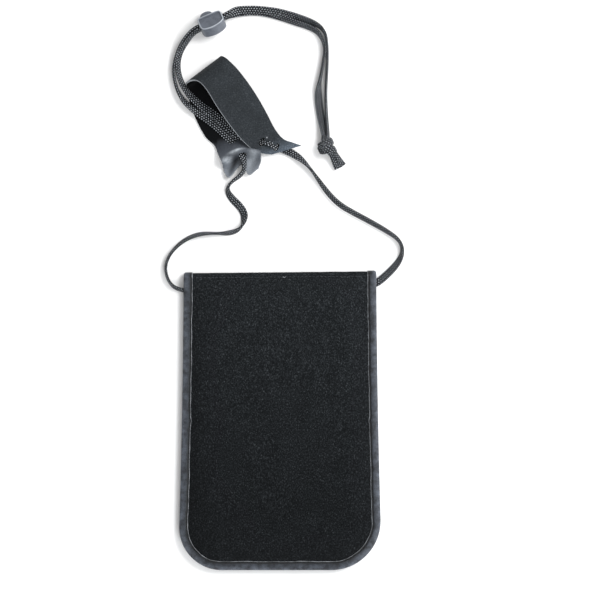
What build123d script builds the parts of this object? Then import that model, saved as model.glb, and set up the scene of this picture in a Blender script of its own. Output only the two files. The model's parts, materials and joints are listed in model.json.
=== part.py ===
from build123d import *
from math import cos, pi, radians, sin, tan
import os

# Neck pouch wallet, lying face up. Millimetres, +Z up, +Y towards the neck cord.
# The origin is the middle of the pouch, on the surface that it lies on.

# Pouch outline: a tapered rectangle with large round bottom corners
POUCH_HEIGHT = 200.0
TOP_HALF_WIDTH = 64.5
BOTTOM_HALF_WIDTH = 67.5
CORNER_RADIUS = 28.0
POUCH_TOP = POUCH_HEIGHT / 2
SIDE_TAPER = (BOTTOM_HALF_WIDTH - TOP_HALF_WIDTH) / (POUCH_HEIGHT - CORNER_RADIUS)
FOLD_Y = 96.5  # where the flat panels end and the fold begins
FOLD_END = 97.2  # where the fold's straight legs end and its bend begins

# Edge binding: a tape folded round the edges as a channel
TAPE_WIDTH = 6.0
TAPE_WALL = 1.0
TAPE_LIP = 0.45
BODY_BINDING_HEIGHT = 3.0
FLAP_BINDING_BASE = 3.3
FLAP_BINDING_HEIGHT = 2.4
RIM = 1.0  # how far inside the outline a bound layer ends
FOOT = 7.0  # where a crowned layer starts to rise
OPEN_TOP = POUCH_TOP + 10.0  # runs a cut out past the top edge

# Body layers
PANEL_THICKNESS = 1.0
PANEL_RIM_BASE = 0.5
BINDING_CLEARANCE = 0.3
LINING_BASE = 1.5
LINING_THICKNESS = 0.5
LINING_RISE = 0.8
LINING_CREST = 10.0
LINING_TOP = 95.0
POCKET_BASE = 2.05
POCKET_THICKNESS = 0.5
POCKET_RISE = 5.0
POCKET_CREST = 20.0
POCKET_MOUTH_Y = 25.0

# Flap layers
FLAP_POCKET_BASE = 3.75
FLAP_POCKET_THICKNESS = 0.4
FLAP_POCKET_RISE = 5.35
FLAP_POCKET_MOUTH_Y = 0.0
FLAP_BASE = 4.2
FLAP_THICKNESS = 1.0
FLAP_RISE = 5.6
FLAP_CREST = 22.0

HEM_WIDTH = 6.0
HEM_THICKNESS = 0.5
HEM_HALF_LENGTH = 42.0

# Hook-and-loop closure
PATCH_LENGTH = 32.0
PATCH_WIDTH = 18.0
PATCH_Y = -62.0
HOOK_THICKNESS = 0.7
LOOP_THICKNESS = 0.6

# Zip across the body, above the slip pocket
ZIP_Y = 62.0
ZIP_HALF_LENGTH = 50.0
ZIP_WINDOW_WIDTH = 7.0
ZIP_WINDOW_HALF_LENGTH = 53.5
ZIP_TAPE_HALF_LENGTH = 55.0
ZIP_TAPE_WIDTH = 9.7
ZIP_TAPE_BASE = 1.9
ZIP_TAPE_THICKNESS = 0.4
ZIP_GAP = 0.6  # between the two tapes
TOOTH_PITCH = 1.4
TOOTH_WIDTH = 0.75
TOOTH_TIP = 0.35  # from the zip's middle to the tip of a tooth
TOOTH_ROOT = 1.2
CORD_EDGE = 1.9
TOOTH_HEIGHT = 1.1
STOP_LENGTH = 1.8

# Zip slider, closed at +X, and its pull
SLIDER_X = 44.0
SLIDER_LENGTH = 9.0
SLIDER_WIDTH = 6.2
SLIDER_WING = 0.8
SLIDER_TOP_BASE = 3.7
SLIDER_TOP_THICKNESS = 0.7
SLIDER_UNDER_BASE = 1.15
SLIDER_UNDER_THICKNESS = 0.55
SLIDER_NECK = 0.3
POST_RADIUS = 0.9
POST_HEIGHT = 1.2
POST_HEAD_RADIUS = 1.6
POST_HEAD_HEIGHT = 0.5
PULL_LENGTH = 17.0
PULL_WIDTH = 4.6
PULL_THICKNESS = 0.9
PULL_EYE_RADIUS = 1.15

# Cord: a flat braid of 5.0 by 1.2, given as a round tube of about the same section
CORD_DIAMETER = 2.7
SEAM_Z = 1.5  # height at which the cord leaves the pouch's side seams
LIE = 1.4  # height of the cord's middle where it lies flat
ON_LEAF = 3.15  # and where it lies on the pad's lower leaf

# Neck pad: a strip folded in half round the cord
PAD_THICKNESS = 1.4
PAD_HEIGHT = 14.0

# Cord lock: its tunnel runs along LOCK_ALONG, and its plunger across that, tilted
LOCK_CENTRE = (-45.6, 266.0, 7.6)
LOCK_TURN = 22.15
LOCK_TILT = 35.0
LOCK_HALF_LENGTH = 8.5
LOCK_HALF_THICKNESS = 4.5
LOCK_BUTTON_END = 5.0
LOCK_FAR_END = 7.0
LOCK_FAR_CORNER = 4.4
LOCK_ROUND = 1.0
TUNNEL_WIDTH = 7.4
TUNNEL_HEIGHT = 3.4
PLUNGER_LENGTH = 6.5
PLUNGER_THICKNESS = 7.2
PLUNGER_FIT = 0.15
PLUNGER_END = 2.6
BUTTON_OUT = 8.5
PLUNGER_SLOT_LOW = 1.6
PLUNGER_SLOT_HIGH = 3.9
PLUNGER_SLOT_THICKNESS = 6.0
BORE_DEPTH = 6.0
SPRING_RADIUS = 2.1
SPRING_WIRE = 0.22
SPRING_PITCH = 0.8
STRAND_GAP = 1.5  # half the distance between the two strands in the tunnel
STRAND_RUN = 16.0  # half the length of the straight stretch through the lock

# Knot that joins the two cords
KNOT_CENTRE = (31.2, 183.2, 4.3)
KNOT_RADIUS = 5.5
KNOT_HALF_HEIGHT = 4.0

os.makedirs("parts", exist_ok=True)

turn = radians(LOCK_TURN)
tilt = radians(LOCK_TILT)
LOCK_ALONG = Vector(cos(turn), sin(turn), 0)
LOCK_SIDE = Vector(-sin(turn), cos(turn), 0)
LOCK_FACE = LOCK_SIDE * sin(tilt) + Vector(0, 0, cos(tilt))
LOCK_PLUNGE = LOCK_SIDE * cos(tilt) - Vector(0, 0, sin(tilt))
lock_middle = Vector(*LOCK_CENTRE)


def strand_end(way, side):
    """A point on one strand at one end of the straight stretch through the lock."""
    return tuple(lock_middle + LOCK_ALONG * way * STRAND_RUN + LOCK_FACE * side * STRAND_GAP)


# The cords' routes, from the pouch's side seams to the knot
LEFT_ROUTE = [
    (-64.4, 87.1, SEAM_Z),
    (-71.2, 89.4, SEAM_Z),
    (-75.9, 96.6, SEAM_Z),
    (-76.5, 104.8, LIE),
    (-73.2, 112.2, LIE),
    (-66.6, 118.4, LIE),
    (-57.4, 123.4, LIE),
    (-46.6, 125.7, LIE),
    (-35.8, 125.4, LIE),
    (-27.4, 128.3, LIE),
    (-23.2, 135.6, LIE),
    (-25.4, 143.6, LIE),
    (-30.6, 149.2, LIE),
    (-34.7, 153.9, LIE),
    (-34.4, 158.7, 1.5),
    (-29.8, 162.6, 2.4),
    (-25.2, 167.4, 3.3),
    (-23.9, 173.6, ON_LEAF),
    (-26.5, 180.6, ON_LEAF),
    (-32.2, 188.2, ON_LEAF),
    (-39.2, 195.5, ON_LEAF),
    (-48.2, 201.9, ON_LEAF),
    (-58.6, 207.7, 2.9),
    (-67.0, 213.9, 1.6),
    (-71.4, 221.6, LIE),
    (-73.0, 230.2, LIE),
    (-72.8, 239.0, LIE),
    (-70.9, 248.2, 2.2),
    strand_end(-1, 1),
    strand_end(1, 1),
    (-16.0, 277.0, 2.0),
    (-3.4, 274.5, LIE),
    (8.6, 270.6, LIE),
    (19.4, 266.6, LIE),
    (27.6, 261.3, LIE),
    (31.4, 253.2, LIE),
    (32.1, 243.4, LIE),
    (30.9, 233.2, LIE),
    (30.3, 222.6, LIE),
    (30.6, 211.8, LIE),
    (31.6, 201.2, LIE),
    (32.9, 192.4, 1.9),
    (33.0, 187.4, 2.9),
]
RIGHT_ROUTE = [
    (64.3, 91.4, SEAM_Z),
    (70.8, 95.0, SEAM_Z),
    (77.5, 100.6, SEAM_Z),
    (81.6, 108.2, LIE),
    (80.9, 116.6, LIE),
    (76.0, 124.1, LIE),
    (67.4, 130.0, LIE),
    (57.6, 134.8, LIE),
    (47.2, 140.7, LIE),
    (37.6, 147.4, LIE),
    (29.3, 155.8, LIE),
    (22.8, 165.0, LIE),
    (16.2, 173.4, LIE),
    (8.2, 178.1, LIE),
    (0.6, 181.4, 2.7),
    (-4.6, 184.2, 6.7),
    (-10.0, 187.0, 6.9),
    (-16.6, 189.9, 4.2),
    (-25.4, 192.6, ON_LEAF),
    (-36.2, 198.8, ON_LEAF),
    (-46.4, 205.3, ON_LEAF),
    (-56.2, 210.9, 2.9),
    (-63.6, 217.0, 1.6),
    (-67.4, 224.6, LIE),
    (-69.3, 232.4, LIE),
    (-69.4, 240.0, LIE),
    (-67.2, 247.2, 1.6),
    strand_end(-1, -1),
    strand_end(1, -1),
    (-16.2, 273.4, 1.6),
    (-4.3, 271.2, LIE),
    (7.6, 267.4, LIE),
    (18.0, 263.6, LIE),
    (25.0, 258.8, LIE),
    (28.1, 251.0, LIE),
    (28.7, 242.4, LIE),
    (27.3, 232.6, LIE),
    (26.7, 222.2, LIE),
    (27.0, 211.4, LIE),
    (28.0, 201.0, LIE),
    (29.2, 192.4, 1.9),
    (29.5, 187.4, 2.9),
]
TAIL_ROUTES = [
    [(31.4, 179.4, 3.2), (34.2, 173.8, 2.0), (38.4, 168.4, LIE)],
    [(34.2, 180.2, 3.4), (38.2, 175.4, 2.2), (43.6, 171.8, LIE)],
]


def outline(height, inset, top):
    """The pouch's outline, drawn inset from its outer edge and cut straight across at top."""
    low = -POUCH_TOP + inset
    upper = TOP_HALF_WIDTH + (POUCH_TOP - top) * SIDE_TAPER - inset
    lower = BOTTOM_HALF_WIDTH + CORNER_RADIUS * SIDE_TAPER - inset
    with BuildSketch(Plane.XY.offset(height)) as drawn:
        Polygon((-lower, low), (lower, low), (upper, top), (-upper, top), align=None)
        fillet(drawn.vertices().group_by(Axis.Y)[0], CORNER_RADIUS - inset)
    return drawn.sketch


def crowned_sheet(base, thickness, rise, crest, rim_top, foot_top, crest_top):
    """A fabric layer with a flat bound rim, which rises from its foot to a flat crown."""
    extrude(outline(base, RIM, rim_top), amount=thickness)
    loft([outline(base + thickness, FOOT, foot_top), outline(base + thickness + rise, crest, crest_top)])
    loft([outline(base, FOOT, foot_top), outline(base + rise, crest, crest_top)], mode=Mode.SUBTRACT)


def binding_channel(base, height):
    """The binding tape round the sides and bottom, with its slot open inwards."""
    extrude(outline(base, 0, FOLD_Y), amount=height)
    extrude(outline(base, TAPE_WIDTH, OPEN_TOP), amount=height, mode=Mode.SUBTRACT)
    slot = outline(base + TAPE_LIP, TAPE_WALL, OPEN_TOP)
    extrude(slot, amount=height - 2 * TAPE_LIP, mode=Mode.SUBTRACT)


def strip(centre_x, centre_y, base, length, width, thickness):
    """A flat rectangular strip, with its length along X."""
    with BuildSketch(Plane.XY.offset(base)) as plan:
        with Locations((centre_x, centre_y)):
            Rectangle(length, width)
    extrude(plan.sketch, amount=thickness)


def folded_strip(half_width, centre_x, low, high, thickness):
    """A strip bent round the fold line, seen from the side as a C open towards -Y."""
    middle = (low + high) / 2
    outer = (high - low) / 2
    with BuildSketch(Plane.YZ.offset(centre_x)) as section:
        with BuildLine():
            Polyline((FOLD_END, low), (FOLD_Y, low), (FOLD_Y, low + thickness), (FOLD_END, low + thickness))
            ThreePointArc(
                (FOLD_END, low + thickness),
                (FOLD_END + outer - thickness, middle),
                (FOLD_END, high - thickness),
            )
            Polyline((FOLD_END, high - thickness), (FOLD_Y, high - thickness), (FOLD_Y, high), (FOLD_END, high))
            ThreePointArc((FOLD_END, high), (FOLD_END + outer, middle), (FOLD_END, low))
        make_face()
    extrude(section.sketch, amount=half_width, both=True)


def teeth_row(side, shift):
    """One row of zip teeth on its edge cord, on the side (+1 or -1) of the zip's middle."""
    base = ZIP_TAPE_BASE + ZIP_TAPE_THICKNESS
    root_y = ZIP_Y + side * (TOOTH_ROOT + CORD_EDGE) / 2
    tooth_y = ZIP_Y + side * (TOOTH_TIP + TOOTH_ROOT) / 2
    count = int(2 * ZIP_HALF_LENGTH / TOOTH_PITCH) - 1
    strip(0, root_y, base, 2 * ZIP_HALF_LENGTH, CORD_EDGE - TOOTH_ROOT, TOOTH_HEIGHT)
    with BuildSketch(Plane.XY.offset(base)) as teeth:
        with Locations((shift, tooth_y)):
            with GridLocations(TOOTH_PITCH, 1, count, 1):
                Rectangle(TOOTH_WIDTH, TOOTH_ROOT - TOOTH_TIP)
    extrude(teeth.sketch, amount=TOOTH_HEIGHT)


def corner_radii(route):
    """The largest even arcs that the runs on both sides of each corner leave room for."""
    radii = []
    for before, corner, after in zip(route, route[1:], route[2:]):
        run_in = Vector(*corner) - Vector(*before)
        run_out = Vector(*after) - Vector(*corner)
        half_turn = radians(run_in.get_angle(run_out)) / 2
        radii.append(0.45 * min(run_in.length, run_out.length) / tan(half_turn))
    return radii


def cord_tube(route):
    """A round tube of straight runs joined by tangent arcs."""
    with BuildLine() as path:
        FilletPolyline(*route, radius=corner_radii(route))
    wire = path.wire()
    with BuildSketch(Plane(origin=wire @ 0, z_dir=wire % 0)) as section:
        Circle(CORD_DIAMETER / 2)
    sweep(section.sketch, path=wire)
    return wire.length


# Body of the pouch

with BuildPart() as back_panel:
    extrude(outline(PANEL_RIM_BASE, RIM, FOLD_Y), amount=PANEL_THICKNESS)
    extrude(outline(PANEL_THICKNESS, FOOT, FOLD_Y - FOOT), amount=PANEL_RIM_BASE, mode=Mode.SUBTRACT)
    extrude(outline(0, TAPE_WIDTH + BINDING_CLEARANCE, FOLD_Y), amount=PANEL_RIM_BASE)

with BuildPart() as zip_lining:
    crowned_sheet(
        LINING_BASE,
        LINING_THICKNESS,
        LINING_RISE,
        LINING_CREST,
        LINING_TOP,
        FOLD_Y - FOOT,
        FOLD_Y - LINING_CREST,
    )
    with BuildSketch(Plane.XY):
        with Locations((0, ZIP_Y)):
            Rectangle(2 * ZIP_WINDOW_HALF_LENGTH, ZIP_WINDOW_WIDTH)
    extrude(amount=LINING_BASE + LINING_RISE + 2, mode=Mode.SUBTRACT)

with BuildPart() as slip_pocket:
    crowned_sheet(
        POCKET_BASE,
        POCKET_THICKNESS,
        POCKET_RISE,
        POCKET_CREST,
        POCKET_MOUTH_Y,
        POCKET_MOUTH_Y,
        POCKET_MOUTH_Y,
    )

pocket_face = POCKET_BASE + POCKET_RISE + POCKET_THICKNESS
with BuildPart() as slip_pocket_hem:
    strip(0, POCKET_MOUTH_Y - HEM_WIDTH / 2, pocket_face, 2 * HEM_HALF_LENGTH, HEM_WIDTH, HEM_THICKNESS)

with BuildPart() as hook_patch:
    strip(0, PATCH_Y, pocket_face, PATCH_LENGTH, PATCH_WIDTH, HOOK_THICKNESS)

with BuildPart() as body_binding:
    binding_channel(0, BODY_BINDING_HEIGHT)

# Zip

tape_offset = (ZIP_GAP + ZIP_TAPE_WIDTH) / 2
with BuildPart() as zip_tape_upper:
    strip(0, ZIP_Y + tape_offset, ZIP_TAPE_BASE, 2 * ZIP_TAPE_HALF_LENGTH, ZIP_TAPE_WIDTH, ZIP_TAPE_THICKNESS)

with BuildPart() as zip_tape_lower:
    strip(0, ZIP_Y - tape_offset, ZIP_TAPE_BASE, 2 * ZIP_TAPE_HALF_LENGTH, ZIP_TAPE_WIDTH, ZIP_TAPE_THICKNESS)

with BuildPart() as zip_teeth_upper:
    teeth_row(1, TOOTH_PITCH / 4)

with BuildPart() as zip_teeth_lower:
    teeth_row(-1, -TOOTH_PITCH / 4)

stop_x = ZIP_HALF_LENGTH + 0.2 + STOP_LENGTH / 2
stop_base = ZIP_TAPE_BASE + ZIP_TAPE_THICKNESS
with BuildPart() as zip_stops:
    strip(-stop_x, ZIP_Y, stop_base, STOP_LENGTH, 2 * CORD_EDGE, TOOTH_HEIGHT + 0.2)
    for side in (-1, 1):
        stop_y = ZIP_Y + side * (TOOTH_TIP + CORD_EDGE) / 2
        strip(stop_x, stop_y, stop_base, STOP_LENGTH, CORD_EDGE - TOOTH_TIP, TOOTH_HEIGHT + 0.2)

slider_top = SLIDER_TOP_BASE + SLIDER_TOP_THICKNESS
wing_base = ZIP_TAPE_BASE + ZIP_TAPE_THICKNESS + 0.2
wing_y = (SLIDER_WIDTH - SLIDER_WING) / 2
neck_base = SLIDER_UNDER_BASE + SLIDER_UNDER_THICKNESS
with BuildPart() as zip_slider:
    with BuildSketch(Plane.XY.offset(SLIDER_TOP_BASE)) as slider_plan:
        with Locations((SLIDER_X, ZIP_Y)):
            Rectangle(SLIDER_LENGTH, SLIDER_WIDTH)
        fillet(slider_plan.vertices(), 1.4)
    extrude(amount=SLIDER_TOP_THICKNESS)
    for side in (-1, 1):
        strip(
            SLIDER_X,
            ZIP_Y + side * wing_y,
            wing_base,
            SLIDER_LENGTH - 3.0,
            SLIDER_WING,
            SLIDER_TOP_BASE - wing_base,
        )
    strip(SLIDER_X + 2.5, ZIP_Y, neck_base, 2.0, SLIDER_NECK, SLIDER_TOP_BASE - neck_base)
    strip(SLIDER_X, ZIP_Y, SLIDER_UNDER_BASE, SLIDER_LENGTH - 1.0, SLIDER_WIDTH - 0.6, SLIDER_UNDER_THICKNESS)
    with BuildSketch(Plane.XY.offset(slider_top)):
        with Locations((SLIDER_X, ZIP_Y)):
            Circle(POST_RADIUS)
    extrude(amount=POST_HEIGHT)
    with BuildSketch(Plane.XY.offset(slider_top + POST_HEIGHT)):
        with Locations((SLIDER_X, ZIP_Y)):
            Circle(POST_HEAD_RADIUS)
    extrude(amount=POST_HEAD_HEIGHT)

pull_base = slider_top + (POST_HEIGHT - PULL_THICKNESS) / 2
with BuildPart() as zip_pull:
    with BuildSketch(Plane.XY.offset(pull_base)):
        with Locations((SLIDER_X, ZIP_Y)):
            Circle(PULL_WIDTH / 2)
        with Locations((SLIDER_X, ZIP_Y - PULL_LENGTH / 2)):
            Rectangle(PULL_WIDTH - 1.2, PULL_LENGTH)
        with Locations((SLIDER_X, ZIP_Y - PULL_LENGTH)):
            SlotOverall(PULL_WIDTH + 3.0, PULL_WIDTH, rotation=90)
        with Locations((SLIDER_X, ZIP_Y)):
            Circle(PULL_EYE_RADIUS, mode=Mode.SUBTRACT)
    extrude(amount=PULL_THICKNESS)

# Flap, folded over the top and down to the bottom edge

with BuildPart() as flap_panel:
    crowned_sheet(
        FLAP_BASE,
        FLAP_THICKNESS,
        FLAP_RISE,
        FLAP_CREST,
        FOLD_Y,
        FOLD_Y - RIM,
        FOLD_Y - POCKET_CREST,
    )

with BuildPart() as flap_pocket:
    crowned_sheet(
        FLAP_POCKET_BASE,
        FLAP_POCKET_THICKNESS,
        FLAP_POCKET_RISE,
        FLAP_CREST,
        FLAP_POCKET_MOUTH_Y,
        FLAP_POCKET_MOUTH_Y,
        FLAP_POCKET_MOUTH_Y,
    )

flap_underside = FLAP_POCKET_BASE + FLAP_POCKET_RISE
with BuildPart() as flap_pocket_hem:
    strip(
        0,
        FLAP_POCKET_MOUTH_Y - HEM_WIDTH / 2,
        flap_underside - HEM_THICKNESS,
        2 * HEM_HALF_LENGTH,
        HEM_WIDTH,
        HEM_THICKNESS,
    )

with BuildPart() as loop_patch:
    strip(0, PATCH_Y, flap_underside - LOOP_THICKNESS, PATCH_LENGTH, PATCH_WIDTH, LOOP_THICKNESS)

with BuildPart() as flap_binding:
    binding_channel(FLAP_BINDING_BASE, FLAP_BINDING_HEIGHT)

turn_half_width = (TAPE_WIDTH - 0.2) / 2
turn_x = TOP_HALF_WIDTH - turn_half_width
with BuildPart() as fold_spine:
    folded_strip(
        TOP_HALF_WIDTH - TAPE_WIDTH,
        0,
        PANEL_RIM_BASE,
        FLAP_BASE + FLAP_THICKNESS,
        PANEL_THICKNESS,
    )

with BuildPart() as binding_turns:
    for side in (-1, 1):
        folded_strip(turn_half_width, side * turn_x, 0, FLAP_BINDING_BASE + FLAP_BINDING_HEIGHT, 1.8)

# Neck pad: lower leaf on the table, a bend at the upper left, and an arched upper leaf

fold_middle = Vector(-50.9, 234.9, 0)
fold_way = Vector(0.588, -0.809, 0)
pad_side = Plane(origin=fold_middle, x_dir=fold_way, z_dir=fold_way.cross(Vector(0, 0, 1)))
with BuildPart() as neck_pad:
    with BuildSketch(Plane.XY):
        Polygon(
            (-62.0, 227.0),
            (-39.8, 243.0),
            (-31.8, 238.8),
            (-17.9, 221.0),
            (-3.8, 196.4),
            (4.6, 187.4),
            (14.1, 184.0),
            (2.0, 180.0),
            (-10.2, 179.0),
            (-19.8, 182.5),
            (-34.6, 199.0),
            (-50.0, 221.0),
            align=None,
        )
    extrude(amount=PAD_HEIGHT + 2)
    with BuildSketch(pad_side):
        with BuildLine():
            Spline((6.0, 0.0), (-0.4, 5.0), (6.0, 11.6), (22.0, 14.0), (44.0, 10.4), (64.0, 6.0), (84.0, 5.2))
            Line((84.0, 5.2), (84.0, 3.8))
            Spline((84.0, 3.8), (63.6, 4.6), (43.6, 9.0), (22.0, 12.6), (7.0, 10.4), (1.2, 5.0), (6.0, 1.4))
            Line((6.0, 1.4), (6.0, 0.0))
        make_face()
    extrude(amount=40, both=True, mode=Mode.INTERSECT)
    with BuildSketch(Plane.XY):
        Polygon(
            (-62.0, 227.0),
            (-39.8, 243.0),
            (-30.0, 222.0),
            (-17.0, 190.0),
            (-12.8, 174.0),
            (-22.0, 165.4),
            (-35.0, 164.4),
            (-39.0, 173.0),
            (-50.0, 190.0),
            (-58.0, 206.0),
            align=None,
        )
    extrude(amount=PAD_THICKNESS)
    with BuildSketch(Plane.XY.offset(PAD_THICKNESS)):
        with Locations((-1.6, 182.6), (-13.4, 188.6)):
            SlotOverall(8.4, 6.8, rotation=64)
    extrude(amount=PAD_HEIGHT, mode=Mode.SUBTRACT)

# Cords, knot and tails

with BuildPart() as cord_left:
    left_length = cord_tube(LEFT_ROUTE)

with BuildPart() as cord_right:
    right_length = cord_tube(RIGHT_ROUTE)

with BuildPart() as knot:
    with BuildSketch(Plane(origin=KNOT_CENTRE, x_dir=(1, 0, 0), z_dir=(0, -1, 0))):
        with BuildLine():
            ThreePointArc((0, -KNOT_HALF_HEIGHT), (KNOT_RADIUS, 0), (0, KNOT_HALF_HEIGHT))
            Line((0, KNOT_HALF_HEIGHT), (0, -KNOT_HALF_HEIGHT))
        make_face()
    revolve(axis=Axis(KNOT_CENTRE, (0, 0, 1)))

with BuildPart() as cord_tails:
    for route in TAIL_ROUTES:
        cord_tube(route)

# Cord lock

lock_face_plane = Plane(origin=lock_middle, x_dir=LOCK_ALONG, z_dir=LOCK_FACE)
lock_across_plane = Plane(origin=lock_middle, x_dir=LOCK_FACE, z_dir=LOCK_ALONG)
lock_plunge_plane = Plane(origin=lock_middle, x_dir=LOCK_ALONG, z_dir=LOCK_PLUNGE)
with BuildPart() as lock_body:
    with BuildSketch(lock_face_plane):
        with BuildLine():
            Polyline(
                (-LOCK_HALF_LENGTH + 1.0, -LOCK_FAR_CORNER),
                (-LOCK_HALF_LENGTH, LOCK_BUTTON_END),
                (LOCK_HALF_LENGTH, LOCK_BUTTON_END),
                (LOCK_HALF_LENGTH - 1.0, -LOCK_FAR_CORNER),
            )
            ThreePointArc(
                (LOCK_HALF_LENGTH - 1.0, -LOCK_FAR_CORNER),
                (0, -LOCK_FAR_END),
                (-LOCK_HALF_LENGTH + 1.0, -LOCK_FAR_CORNER),
            )
        make_face()
    extrude(amount=LOCK_HALF_THICKNESS, both=True)
    fillet(lock_body.edges(), LOCK_ROUND)
    with BuildSketch(lock_across_plane):
        SlotOverall(TUNNEL_WIDTH, TUNNEL_HEIGHT)
    extrude(amount=2 * LOCK_HALF_LENGTH, both=True, mode=Mode.SUBTRACT)
    with BuildSketch(lock_plunge_plane.offset(-BORE_DEPTH)):
        Rectangle(PLUNGER_LENGTH + 2 * PLUNGER_FIT, PLUNGER_THICKNESS + 2 * PLUNGER_FIT)
    extrude(amount=BORE_DEPTH + 2 * LOCK_BUTTON_END, mode=Mode.SUBTRACT)

with BuildPart() as lock_button:
    with BuildSketch(lock_plunge_plane.offset(-PLUNGER_END)):
        Rectangle(PLUNGER_LENGTH, PLUNGER_THICKNESS)
    extrude(amount=PLUNGER_END + BUTTON_OUT)
    fillet(lock_button.faces().sort_by(Axis(LOCK_CENTRE, tuple(LOCK_PLUNGE)))[-1].edges(), 1.2)
    with BuildSketch(lock_face_plane):
        with Locations((0, (PLUNGER_SLOT_HIGH - PLUNGER_SLOT_LOW) / 2)):
            Rectangle(2 * PLUNGER_LENGTH, PLUNGER_SLOT_HIGH + PLUNGER_SLOT_LOW)
    extrude(amount=PLUNGER_SLOT_THICKNESS / 2, both=True, mode=Mode.SUBTRACT)

spring_height = BORE_DEPTH - PLUNGER_END - 2 * SPRING_WIRE - 0.1
spring_foot = lock_middle - LOCK_PLUNGE * (BORE_DEPTH - SPRING_WIRE - 0.05)
with BuildPart() as lock_spring:
    with BuildLine() as coil:
        Helix(SPRING_PITCH, spring_height, SPRING_RADIUS, center=spring_foot, direction=LOCK_PLUNGE)
    helix = coil.line.edge()
    with BuildSketch(Plane(origin=helix @ 0, z_dir=helix % 0)):
        Circle(SPRING_WIRE)
    sweep(path=helix, is_frenet=True)

nodes = {
    "back_panel": back_panel,
    "zip_lining": zip_lining,
    "slip_pocket": slip_pocket,
    "slip_pocket_hem": slip_pocket_hem,
    "hook_patch": hook_patch,
    "body_binding": body_binding,
    "zip_tape_upper": zip_tape_upper,
    "zip_tape_lower": zip_tape_lower,
    "zip_teeth_upper": zip_teeth_upper,
    "zip_teeth_lower": zip_teeth_lower,
    "zip_stops": zip_stops,
    "zip_slider": zip_slider,
    "zip_pull": zip_pull,
    "flap_panel": flap_panel,
    "flap_pocket": flap_pocket,
    "flap_pocket_hem": flap_pocket_hem,
    "loop_patch": loop_patch,
    "flap_binding": flap_binding,
    "fold_spine": fold_spine,
    "binding_turns": binding_turns,
    "neck_pad": neck_pad,
    "cord_left": cord_left,
    "cord_right": cord_right,
    "knot": knot,
    "cord_tails": cord_tails,
    "lock_body": lock_body,
    "lock_button": lock_button,
    "lock_spring": lock_spring,
}
for name, piece in nodes.items():
    piece.part.label = name
    export_step(piece.part, f"parts/{name}.step")

section = pi * CORD_DIAMETER**2 / 4
for name, route, length, piece in (
    ("cord_left", LEFT_ROUTE, left_length, cord_left),
    ("cord_right", RIGHT_ROUTE, right_length, cord_right),
):
    radii = corner_radii(route)
    print(name, "length", round(length, 1), "volume share", round(piece.part.volume / (section * length), 4))
    print("  radii", " ".join(f"{radius:.1f}" for radius in radii))
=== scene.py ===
import json
import math

import bpy
import numpy as np
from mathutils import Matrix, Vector

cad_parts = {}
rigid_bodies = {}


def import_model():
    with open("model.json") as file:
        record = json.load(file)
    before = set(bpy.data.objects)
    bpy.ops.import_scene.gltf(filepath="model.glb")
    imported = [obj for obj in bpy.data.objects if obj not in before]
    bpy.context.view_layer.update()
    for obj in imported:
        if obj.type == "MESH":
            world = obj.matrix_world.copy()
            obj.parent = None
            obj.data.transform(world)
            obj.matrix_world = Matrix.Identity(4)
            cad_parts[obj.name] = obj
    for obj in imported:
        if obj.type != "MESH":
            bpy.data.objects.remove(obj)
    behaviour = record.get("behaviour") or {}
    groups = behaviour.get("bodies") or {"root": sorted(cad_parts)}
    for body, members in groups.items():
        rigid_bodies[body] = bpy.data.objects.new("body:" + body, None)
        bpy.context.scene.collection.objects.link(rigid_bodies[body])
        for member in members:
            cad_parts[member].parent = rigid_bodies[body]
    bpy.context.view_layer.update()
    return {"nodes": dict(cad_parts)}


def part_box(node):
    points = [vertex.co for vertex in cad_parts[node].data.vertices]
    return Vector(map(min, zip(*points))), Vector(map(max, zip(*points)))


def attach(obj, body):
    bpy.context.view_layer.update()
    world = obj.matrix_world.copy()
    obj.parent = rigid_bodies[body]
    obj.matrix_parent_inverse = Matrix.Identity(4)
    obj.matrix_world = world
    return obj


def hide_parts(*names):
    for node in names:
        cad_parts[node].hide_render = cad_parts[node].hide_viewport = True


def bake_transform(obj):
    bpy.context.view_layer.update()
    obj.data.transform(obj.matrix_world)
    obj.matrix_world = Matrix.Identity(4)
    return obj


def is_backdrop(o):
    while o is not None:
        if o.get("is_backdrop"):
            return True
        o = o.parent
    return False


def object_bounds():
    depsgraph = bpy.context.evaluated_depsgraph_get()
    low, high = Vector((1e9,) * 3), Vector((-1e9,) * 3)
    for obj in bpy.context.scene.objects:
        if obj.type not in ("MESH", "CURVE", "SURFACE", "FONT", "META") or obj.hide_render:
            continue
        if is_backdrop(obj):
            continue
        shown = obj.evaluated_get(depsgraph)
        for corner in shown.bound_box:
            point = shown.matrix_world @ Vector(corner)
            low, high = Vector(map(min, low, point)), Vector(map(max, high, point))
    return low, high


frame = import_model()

# A neck pouch wallet, lying face up on a white table. Metres, +Z up, +Y towards the neck cord.

dice = np.random.default_rng(7)

# Driving sizes. The pouch's outline comes from the frame's boxes.
MM = 0.001
BODY_LOW, BODY_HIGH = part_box("body_binding")
FLAP_LOW, FLAP_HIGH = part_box("flap_binding")
TURN_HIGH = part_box("binding_turns")[1]
BOTTOM_Y = BODY_LOW.y
FOLD_Y = BODY_HIGH.y
TOP_Y = TURN_HIGH.y
TOP_HALF_WIDTH = TURN_HIGH.x
BOTTOM_HALF_WIDTH = BODY_HIGH.x
LEFT_RADIUS = 28.5 * MM
RIGHT_RADIUS = 33 * MM
CORNER_Y = BOTTOM_Y + 30 * MM
TAPER = (BOTTOM_HALF_WIDTH - TOP_HALF_WIDTH) / (TOP_Y - CORNER_Y)
SIDE_HOLLOW = 0.5 * MM
TOP_LEAN = 0.010
TAPE_WIDTH = 6 * MM
RIB_PITCH = 0.45 * MM
CREASE_Y = 0.0
TABLE_GAP = 0.05 * MM

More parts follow.
